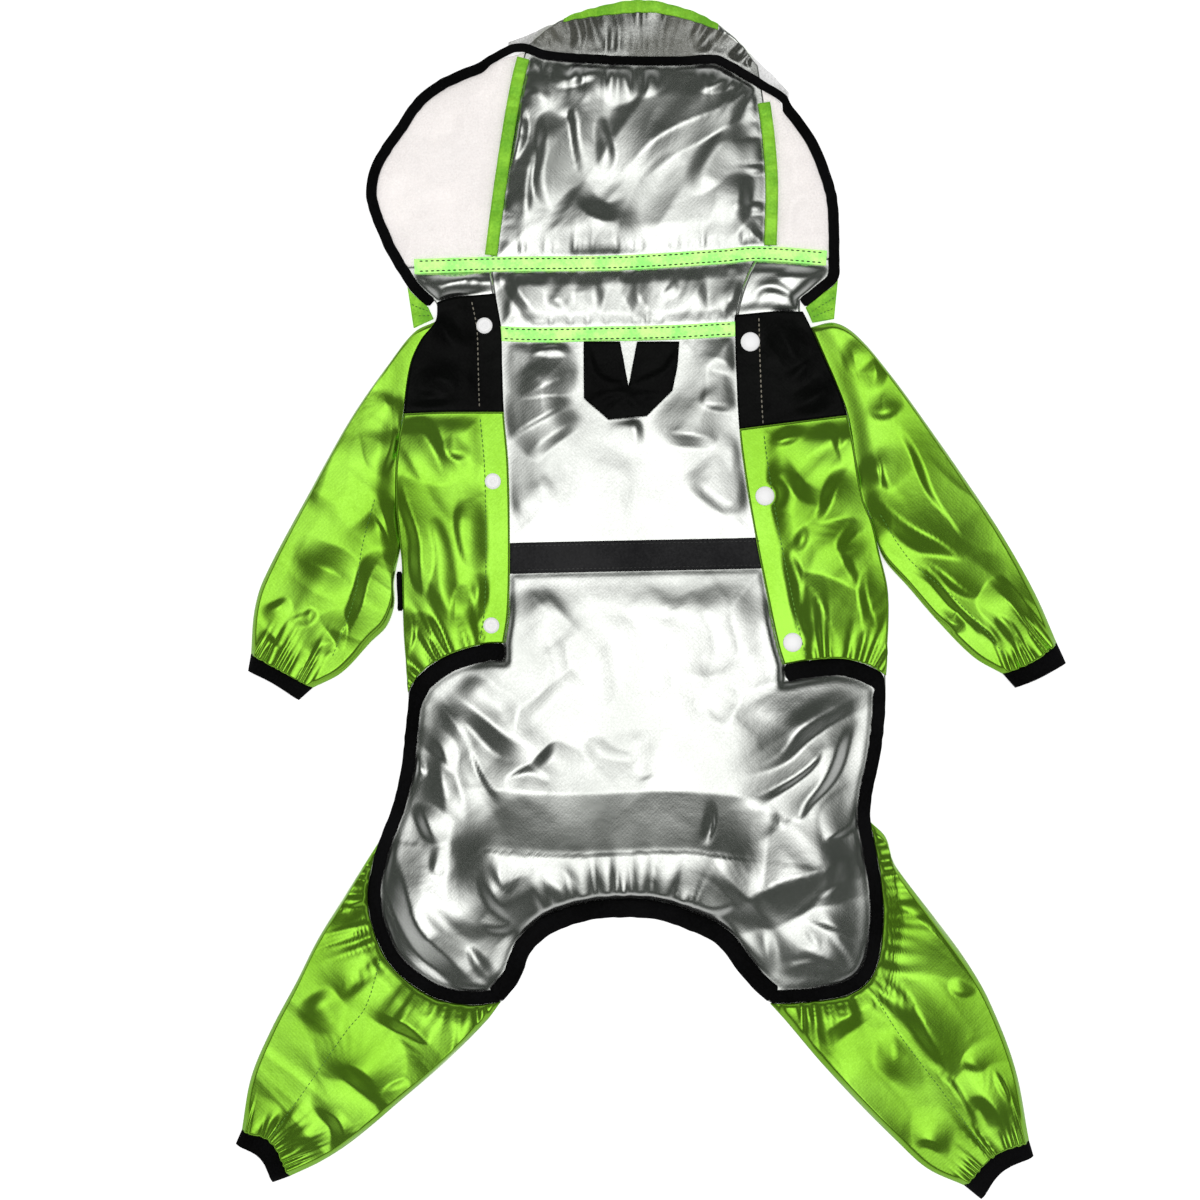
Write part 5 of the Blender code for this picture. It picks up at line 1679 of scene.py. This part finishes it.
@dataclass
class Belly:
    """One belly panel with its yoke, placket, stitches and snaps."""

    side: Side
    outline: Outline
    front: Outline
    seam: Line
    top: Line
    hem: Line
    creases: tuple
    yoke_creases: tuple
    turn: float  # the way its ripples run, in degrees from X
    seed: int

    def build(self) -> None:
        """Makes the panel, its yoke and everything on them."""
        body = [self.outline.between("hem", "yoke"), self.front.between("hem", "yoke")]
        shoulder = [self.outline.between("yoke", "collar"), self.front.between("yoke", "top")]
        if self.side is Side.RIGHT:
            body.reverse()
            shoulder.reverse()
        front = self.front.between("top", "hem")
        snaps = np.array([(x, y) for _, x, y in SNAPS[self.side]])

        def near_snaps(points: Points) -> np.ndarray:
            """The distance outside the snaps."""
            return np.linalg.norm(points[:, None] - snaps, axis=2).min(axis=1) - SNAP_REACH

        covers = [outside(front, PLACKET_WIDTH - 3), near_snaps, outside(self.seam, 1.0)]
        mark = self.side.value
        relief = Relief(0.4, self.creases, (Gather(self.hem, 7.8, 3.0, 24, self.seed),),
                        (Ripples(self.seed, self.turn, 2.0, 66, 22),), covers, swell_reach=20, small_reach=14)
        panel = Panel(f"belly_panel_{mark}", Patch(self.hem, self.seam, *body), relief, TOP_OF_BELLY,
                      (GREEN, SILVER), nodes=(f"belly_{mark}",))
        piece = panel.build()
        yoke_relief = Relief(0.8, self.yoke_creases, (), (Ripples(self.seed + 1, -35, 1.2, 40, 14),), covers,
                             swell_reach=16, small_reach=12)
        yoke = Panel(f"yoke_{mark}", Patch(self.seam, self.top, *shoulder), yoke_relief, TOP_OF_BELLY,
                     (NYLON, NYLON), nodes=(f"belly_yoke_{mark}",))
        yoke_piece = yoke.build()
        declare(piece, panel.patch, fullness=1.06)
        declare(yoke_piece, yoke.patch)
        self.sew(panel, yoke)
        self.snaps()

    def sew(self, panel: Panel, yoke: Panel) -> None:
        """Makes the row of stitches along the placket, in one thread on the panel and another on the yoke.

        Args:
            panel: the belly panel.
            yoke: the yoke above it.
        """
        front = self.front.between("top", "hem")
        stitched = front.moved(PLACKET_WIDTH if self.side is Side.RIGHT else -PLACKET_WIDTH)
        split = float(self.seam.y_at(self.front.between("yoke", "top").at(0)[0]))
        foot = float(self.hem.y_at(stitched.points[-1][0]))
        head = float(stitched.points[0][1])
        green = Sewing(f"placket_stitches_{self.side.value}", GREEN_THREAD)
        green.add(stitched.from_y(split - 4, foot + 3), panel.surface)
        green.build()
        tan = Sewing(f"yoke_stitches_{self.side.value}", TAN_THREAD)
        tan.add(stitched.from_y(head - 2, split + 3), yoke.surface)
        tan.build()

    def snaps(self) -> None:
        """The three white snaps: sockets with a ring on the left, plain caps on the right."""
        profile = SOCKET if self.side is Side.LEFT else CAP
        for name, x, y in SNAPS[self.side]:
            node = f"snap_{self.side.value}_{name}"
            turned(f"{node}_face", (x, y, TOP_OF_BELLY + SNAP_LIFT), profile, (node,))


def turned(name: str, spot: tuple[float, float, float], profile: Sequence, nodes: tuple[str, ...]
           ) -> bpy.types.Object:
    """Makes a round piece of plastic by spinning its profile.

    Args:
        name: the piece's name.
        spot: the middle of its foot.
        profile: rows of radius and height, from the middle of the top to the middle of the foot.
        nodes: the solids that it replaces.

    Returns:
        The piece.
    """
    made = bmesh.new()
    corners = [made.verts.new((radius * MM, 0, height * MM)) for radius, height in profile]
    edges = [made.edges.new(pair) for pair in zip(corners, corners[1:])]
    bmesh.ops.spin(made, geom=corners + edges, cent=(0, 0, 0), axis=(0, 0, 1), angle=2 * math.pi,
                   steps=SNAP_STEPS, use_merge=True)
    bmesh.ops.remove_doubles(made, verts=made.verts, dist=1e-6)
    bmesh.ops.recalc_face_normals(made, faces=made.faces)
    bmesh.ops.translate(made, verts=made.verts, vec=[value * MM for value in spot])
    return piece_from(name, made, (PLASTIC,), nodes)


@dataclass
class Limb:
    """A sleeve or leg with its lengthwise seam and its elastic cuff."""

    name: str
    outline: Outline
    ends: tuple[str, str]
    creases: tuple
    turn: float  # the way its ripples run, in degrees from X
    seed: int

    def build(self) -> None:
        """Makes the tube, its cuff and its stitches."""
        outer, inner, cuff, hem = (smooth(points) for points in LIMBS[self.name])
        mouth = self.outline.between(*self.ends).moved(-GAP / 2)
        sides = (outer, inner) if self.outline is left_side else (inner, outer)
        left, right = [side.backwards().with_end(mouth.at(k)) for k, side in enumerate(sides)]
        leg = self.name.startswith("leg")
        patch = Patch(cuff, mouth, left, right)
        gathers = [Gather(cuff, 6, 2.4, 20, self.seed)]
        if leg:
            gathers.append(Gather(mouth, 8.5, 2.6, 24, self.seed + 1))
        relief = Relief(0.8, self.creases, gathers, (Ripples(self.seed, self.turn, 2.2, 84, 28),),
                        [outside(mouth, -1.0)], swell_reach=18, fold_reach=4, small_reach=14)
        tube = Tube(f"{self.name}_cloth", patch, relief, (3.4, 3.6, 2.6 if leg else 2.2), (GREEN, SILVER),
                    nodes=(self.name,))
        piece = tube.build()
        cuff_name = self.name.replace("_", "_cuff_")
        puckered = Relief(0.4, (), (Gather(cuff, 3, 0.7, 30, 8),))
        elastic = Tube(f"{cuff_name}_elastic", Patch(hem, cuff), puckered, (3.2, 3.6, 3.6), (ELASTIC,), 1.2,
                       4.0, (cuff_name,))
        declare(piece, patch, layers=2, with_pieces=[elastic.build()])
        sewing = Sewing(f"{self.name}_stitches", GREEN_THREAD, stitch=2.0, pitch=3.0, width=0.4)
        sewing.add(smooth(LIMB_SEAMS[self.name]).part(0.04, 0.97), tube.surface)
        sewing.build()


@dataclass
class Edging:
    """The elastic binding round the leg openings, the tail and the hood's opening."""

    hem_width: float = HEM_BINDING_WIDTH
    side_width: float = SIDE_BINDING_WIDTH
    tail_width: float = TAIL_BINDING_WIDTH
    rim_width: float = RIM_WIDTH
    rim_top_width: float = RIM_TOP_WIDTH

    def build(self) -> None:
        """Makes the runs of binding."""
        self.leg_opening(Side.LEFT, left_side, hem_left)
        self.leg_opening(Side.RIGHT, right_side, hem_right)
        Ribbon("tail_edge_run", *even_pairs(tail_edge, tail_edge.moved(self.tail_width)),
               nodes=("tail_binding",)).build()
        self.rim()

    def leg_opening(self, side: Side, outline: Outline, hem: Line) -> None:
        """Makes the run along one hem and on round the leg's opening.

        Args:
            side: the garment's side.
            outline: its outline.
            hem: the hem of its belly panel.
        """
        run = outline.between("flank", "crotch")
        inward = self.side_width if side is Side.LEFT else -self.side_width
        flank = even_pairs(run, run.moved(inward))
        start = even_pairs(hem, hem.moved(-self.hem_width))
        if side is Side.LEFT:
            start = tuple(points[::-1] for points in start)
        rows = (softened(np.concatenate([start[k], flank[k]])) for k in (0, 1))
        nodes = tuple(f"{part}_binding_{side.value}" for part in ("hem", "side", "leg"))
        Ribbon(f"hem_and_leg_edge_{side.value}", *rows, nodes=nodes).build()

    def rim(self) -> None:
        """The black edge all round the hood's opening, over the brim and beside the windows."""
        half = self.rim_top_width / 2
        stretches = (
            even_pairs(rim_left, rim_left.moved(-self.rim_width)),
            even_pairs(rim_top.moved(half), rim_top.moved(-half)),
            tuple(points[::-1] for points in even_pairs(rim_right, rim_right.moved(self.rim_width))),
        )
        outer, inner = (softened(np.concatenate([pair[k] for pair in stretches])) for k in (0, 1))

        def base(points: Points) -> np.ndarray:
            """Lies on the floor beside the windows and on the crown at the top."""
            return FLOOR_GAP + (BINDING_BASE - FLOOR_GAP) * ease(points[:, 1], 318, 338)

        Ribbon("hood_edge", outer, inner, base=base,
               nodes=("rim_binding_l", "rim_binding_top", "rim_binding_r")).build()


def softened(points: Points, rounds: int = 2) -> Points:
    """Eases the corners of a row of points.

    Args:
        points: rows of x, y.
        rounds: how many times they are eased.

    Returns:
        The eased points, with the same ends.
    """
    for _ in range(rounds):
        points = np.concatenate([points[:1], (points[:-2] + 2 * points[1:-1] + points[2:]) / 4, points[-1:]])
    return points


@dataclass
class Hood:
    """The crown, windows, brim and bands of the hood, with their tapes and stitches."""

    crown: Panel | None = None

    def build(self) -> None:
        """Makes the hood from the crown outwards."""
        seams = [seam.with_start(tape_line.on(seam.at(0))) for seam in (seam_left, seam_right)]
        foot = [tape_line.share(seam.at(0)) for seam in seams]
        patch = Patch(tape_line.part(*foot), crown_fold, *seams)
        gathers = (Gather(tape_line.part(*foot), 6.5, 1.7, 11, 41), Gather(rim_top, 10, 2.4, 18, 42),
                   Gather(crown_fold, 11, 2.6, 20, 48),
                   Gather(seams[0], 12, 1.6, 14, 43), Gather(seams[1], 12, 1.6, 14, 44))
        half = SEAM_TAPE_WIDTH / 2
        covers = [outside(tape_line, TAPE_WIDTH / 2), outside(seams[0], half), outside(seams[1], half),
                  outside(rim_top, RIM_TOP_WIDTH / 2 + 1)]
        relief = Relief(0.0, CROWN_CREASES, gathers, (Ripples(45, 52, 2.8, 70, 26),), covers, small_reach=20)
        self.crown = Panel("crown", patch, relief, TOP_OF_BACK, (SILVER, GREEN), BACK_WALL, ("hood_crown",))
        declare(self.crown.build(), patch, fullness=1.08)
        self.brim()
        self.windows(seams)
        self.bands()
        self.tapes(seams)

    def brim(self) -> None:
        """The clear strip folded back over the crown, and the green crescent beyond it."""
        upper = rim_top.moved(RIM_TOP_WIDTH / 2 - 1)
        edge = brim_edge
        brim = Patch(upper.from_x(float(edge.at(0)[0]), float(upper.at(1)[0])), edge)
        crest = Patch(edge.from_x(*CREST_ENDS), crown_fold.from_x(*CREST_ENDS))
        below = self.crown.relief
        thin = Relief(0.0, (), (Gather(rim_top, 11, 0.8, 12, 46),), below=below)
        strip = Panel("brim_strip", brim, thin, TOP_OF_BRIM, (SHADED_BRIM_VINYL,), VINYL_WALL, ("brim_top",))
        declare(strip.build(), brim)
        Panel("crest_strip", crest, Relief(0.0, below=below), TOP_OF_CREST, (TAPE_GREEN,), TAPE_WALL,
              ("hood_crest",)).build()

    def windows(self, seams: Sequence[Line]) -> None:
        """Makes the two clear side windows.

        Args:
            seams: the crown's left and right seams, along which they are sewn.
        """
        inner = rim_left.moved(-RIM_WIDTH + 1), rim_right.moved(RIM_WIDTH - 1)
        for k, name in enumerate(("window_l", "window_r")):
            side = inner[k].from_y(float(tape_line.at(k)[1]), float(inner[k].at(1)[1]))
            reach = side.joined(Line([side.at(1), WINDOW_CORNERS[k]]))
            tip = seams[k].part(0, SEAM_TIPS[k])
            edges = (reach, tip) if k == 0 else (tip, reach)
            patch = Patch(Line([edge.at(0) for edge in edges]), Line([edge.at(1) for edge in edges]), *edges)
            covers = [outside(reach, 1.0), outside(tip, SEAM_TAPE_WIDTH / 2),
                      outside(tape_line, TAPE_WIDTH / 2)]
            relief = Relief(1.6, WINDOW_CREASES[k], (Gather(tip, 16, 0.9, 16, 51 + k),),
                            (Ripples(53 + k, 65, 1.6, 44, 16),), covers, swell_reach=16, small_reach=12)
            panel = Panel(f"{name}_sheet", patch, relief, TOP_OF_WINDOW, (VINYL,), VINYL_WALL, (name,))
            declare(panel.build(), patch, fullness=1.0)

    def bands(self) -> None:
        """The silver band between the neck seam and the crown, and its two ends."""
        band_seams = [seam.with_start(neck_seam.on(seam.at(0))).with_end(tape_line.on(seam.at(1)))
                      for seam in (band_seam_left, band_seam_right)]
        neck = [neck_seam.share(seam.at(0)) for seam in band_seams]
        tape = [tape_line.share(seam.at(1)) for seam in band_seams]
        covers = [outside(tape_line, TAPE_WIDTH / 2), outside(neck_seam, TAPE_WIDTH / 2), outside_yokes]
        gathers = (Gather(tape_line, 6.5, 1.8, 9, 61), Gather(neck_seam, 6.5, 1.7, 8, 62))
        patch = Patch(neck_seam.part(*neck), tape_line.part(*tape), *band_seams)
        relief = Relief(0.2, COLLAR_CREASES, gathers, (Ripples(63, 66, 1.8, 34, 14),), covers,
                        swell_reach=12, fold_reach=5, small_reach=10)
        middle = Panel("hood_band_middle", patch, relief, TOP_OF_BACK, (SILVER, GREEN), BACK_WALL,
                       ("hood_band",))
        declare(middle.build(), patch)
        inner = rim_left.moved(-RIM_WIDTH + 1), rim_right.moved(RIM_WIDTH - 1)
        for k, creases in enumerate((COLLAR_L_CREASES, COLLAR_R_CREASES)):
            name = f"hood_band_{'lr'[k]}"
            height = float(tape_line.at(k)[1])
            rim = inner[k].part(0, inner[k].share((float(inner[k].x_at(height)), height)))
            edge = Line([neck_seam.at(BAND_ENDS[k]), *rim.points])
            edges = (edge, band_seams[k]) if k == 0 else (band_seams[k], edge)
            ends = sorted((BAND_ENDS[k], neck[k]))
            patch = Patch(neck_seam.part(*ends), Line([line.at(1) for line in edges]), *edges)
            relief = Relief(0.2, creases, gathers, (Ripples(64 + k, 15, 2.0, 40, 14),),
                            [*covers, outside(edge, 1.0)], swell_reach=12, fold_reach=5, small_reach=8)
            panel = Panel(f"{name}_end", patch, relief, TOP_OF_BACK, (SILVER, GREEN), BACK_WALL, (name,))
            declare(panel.build(), patch)

    def tapes(self, seams: Sequence[Line]) -> None:
        """Makes the fluorescent tapes, the green seam tapes and the two folded corners at the neck.

        Args:
            seams: the crown's left and right seams, which the green tapes cover.
        """
        dark = Sewing("tape_stitches", DARK_THREAD, stitch=2.4, pitch=3.6, width=0.5)
        half = TAPE_WIDTH / 2
        wavy = Relief(0.0, (), (Gather(tape_line, 5, 0.5, 30, 71),),
                      (Crumple(72, 160, (0.1, 0.3), (4, 12), (1, 2), (3, 6)),))
        band = Patch(tape_line.moved(-half), tape_line.moved(half))
        cross = cross_patch(neck_seam, ("yoke", "top"), TAPE_WIDTH)
        tape, neck = (
            Panel(f"{name}_run", patch, wavy, TOP_OF_TAPE, (FLUORESCENT,), TAPE_WALL, (name,), TAPE_CELL)
            for name, patch in (("hood_tape", band), ("neck_tape", cross))
        )
        tape.build()
        neck.build()
        for shift in (-half + 1.5, half - 1.5):
            dark.add(tape_line.moved(shift).part(0.01, 0.99), tape.surface)
            dark.add(neck_seam.from_x(-95, 53).moved(shift), neck.surface)
        reach = SEAM_TAPE_WIDTH / 2
        for k, (seam, ends) in enumerate(zip(seams, SEAM_TAPE_ENDS)):
            run = seam.part(*ends)
            relief = Relief(0.0, (), (Gather(run, 7, 0.7, 12, 73 + k),))
            patch = Patch(run.moved(reach), run.moved(-reach), run_end(run, reach, 0), run_end(run, reach, 1))
            green = Panel(f"seam_tape_run_{'lr'[k]}", patch, relief, TOP_OF_TAPE, (TAPE_GREEN,), TAPE_WALL,
                          (f"seam_tape_{'lr'[k]}",), TAPE_CELL)
            green.build()
            outer = run.moved(reach - 1.0) if k == 0 else run.moved(1.0 - reach)
            dark.add(outer.part(0.01, 0.99), green.surface)
        dark.build()
        self.neck_folds()

    def neck_folds(self) -> None:
        """The green outside that shows at the two ends of the neck, with two rows of stitches each."""
        rims = (rim_left.part(0, rim_left.share(NECK_FOLD_ENDS[0])).backwards(),
                rim_right.part(0, rim_right.share(NECK_FOLD_ENDS[1])))
        sewing = Sewing("neck_fold_stitches", GREEN_THREAD, stitch=1.6, pitch=2.6, width=0.4)
        for k, (low, high) in enumerate(zip(NECK_FOLDS, rims)):
            patch = Patch(Line(low), high)
            relief = Relief(0.6, small=(Crumple(81 + k, 60, (0.1, 0.4), (4, 10), (1, 2), (3, 5)),))
            fold = Panel(f"neck_fold_{'lr'[k]}_cloth", patch, relief, TOP_OF_BACK, (TAPE_GREEN,), FOLD_WALL,
                         (f"neck_fold_{'lr'[k]}",), FOLD_CELL)
            fold.build()
            for share in (0.3, 0.6):
                shares = np.linspace(0.08, 0.92, 12)
                sewing.add(Line(patch.at(shares, np.full(12, share))), fold.surface)
        sewing.build()


def run_end(run: Line, reach: float, share: float) -> Line:
    """The short side of a tape at one end of its run, from left to right of travel."""
    return Line([run.moved(reach).at(share), run.moved(-reach).at(share)])


@dataclass
class Studio:
    """The camera, the floor and the soft light, in metres, with the lens and sensor in millimetres.

    What the cloth mirrors is bright overhead, dark round that and lighter again towards the horizon. Each
    reach holds where its light starts and where it is full: from the bright spot's middle, and in height.
    """

    centre: tuple[float, float] = (-0.0325, 0.0)
    frame_width: float = 0.78
    lens: float = 60.0
    sensor: float = 36.0
    floor_size: float = 6.0
    floor_colour: Colour = (0.95, 0.95, 0.95, 1)
    floor_glow: float = 0.42
    panel_size: float = 0.9
    panel_height: float = 2.3
    panel_power: float = 7.0
    room: Colour = (0.78, 0.78, 0.78, 1)
    bright: Colour = (1.9, 1.9, 1.88, 1)
    bright_middle: tuple[float, float] = (0.02, -0.05)
    bright_reach: tuple[float, float] = (0.53, 0.06)
    wall: Colour = (0.034, 0.040, 0.033, 1)
    horizon: Colour = (0.62, 0.62, 0.62, 1)
    horizon_reach: tuple[float, float] = (0.66, 0.12)

    def build(self) -> None:
        """Sets up the whole studio."""
        self.camera()
        self.floor()
        self.lights()

    def camera(self) -> None:
        """A camera that looks straight down on the garment."""
        data = bpy.data.cameras.new("camera")
        data.lens, data.sensor_width = self.lens, self.sensor
        eye = bpy.data.objects.new("camera", data)
        eye.location = (*self.centre, self.frame_width * self.lens / self.sensor)
        bpy.context.scene.collection.objects.link(eye)
        bpy.context.scene.camera = eye

    def floor(self) -> None:
        """A plain white floor."""
        made = bmesh.new()
        bmesh.ops.create_grid(made, x_segments=1, y_segments=1, size=self.floor_size)
        mesh = bpy.data.meshes.new("floor")
        made.to_mesh(mesh)
        made.free()
        material = bpy.data.materials.new("white_floor")
        material.use_nodes = True
        shader = material.node_tree.nodes["Principled BSDF"]
        shader.inputs["Base Color"].default_value = self.floor_colour
        shader.inputs["Roughness"].default_value = 0.9
        shader.inputs["Specular IOR Level"].default_value = 0.0
        shader.inputs["Emission Color"].default_value = (1, 1, 1, 1)
        shader.inputs["Emission Strength"].default_value = self.floor_glow
        mesh.materials.append(material)
        floor = bpy.data.objects.new("floor", mesh)
        floor.visible_glossy = False
        bpy.context.scene.collection.objects.link(floor)

    def lights(self) -> None:
        """A soft panel overhead, and the room that the cloth mirrors."""
        data = bpy.data.lights.new("overhead", "AREA")
        data.shape, data.size = "DISK", self.panel_size
        data.energy = self.panel_power
        panel = bpy.data.objects.new("overhead", data)
        panel.location = (*self.centre, self.panel_height)
        panel.visible_camera = False
        panel.visible_glossy = False
        bpy.context.scene.collection.objects.link(panel)
        world = bpy.data.worlds.new("room")
        bpy.context.scene.world = world
        world.use_nodes = True
        wiring = Wiring(world.node_tree)
        way = wiring.node("ShaderNodeTexCoord").outputs["Generated"]
        parts = wiring.node("ShaderNodeSeparateXYZ", _0=way).outputs
        aside = [wiring.maths("SUBTRACT", parts[k], shift) for k, shift in enumerate(self.bright_middle)]
        squares = [wiring.maths("MULTIPLY", part, part) for part in aside]
        lean = wiring.maths("SQRT", wiring.maths("ADD", *squares))
        walls = wiring.blend(wiring.ramp(parts[2], *self.horizon_reach), self.wall, self.horizon)
        mirrored = wiring.blend(wiring.ramp(lean, *self.bright_reach), walls, self.bright)
        shiny = wiring.node("ShaderNodeLightPath").outputs["Is Glossy Ray"]
        colour = wiring.blend(shiny, self.room, mirrored)
        background = world.node_tree.nodes["Background"]
        world.node_tree.links.new(colour, background.inputs["Color"])
        bpy.context.scene.view_settings.view_transform = "Standard"


def main() -> None:
    """Builds the garment and its studio."""
    logging.basicConfig(level=logging.INFO, format="%(message)s")
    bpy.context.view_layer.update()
    Studio().build()
    Back().build()
    Belly(Side.LEFT, left_side, front_left, yoke_seam_left, yoke_top_left, hem_left, BELLY_L_CREASES,
          YOKE_L_CREASES, -66, 21).build()
    Belly(Side.RIGHT, right_side, front_right, yoke_seam_right, yoke_top_right, hem_right, BELLY_R_CREASES,
          YOKE_R_CREASES, 52, 31).build()
    for limb in (
        Limb("sleeve_l", left_side, ("shoulder", "underarm"), SLEEVE_L_CREASES, -35, 91),
        Limb("sleeve_r", right_side, ("underarm", "shoulder"), SLEEVE_R_CREASES, -38, 93),
        Limb("leg_l", left_side, ("hip", "crotch"), LEG_L_CREASES, -40, 95),
        Limb("leg_r", right_side, ("crotch", "hip"), LEG_R_CREASES, -48, 97),
    ):
        limb.build()
    Hood().build()
    Edging().build()


if __name__ == "__main__":
    main()
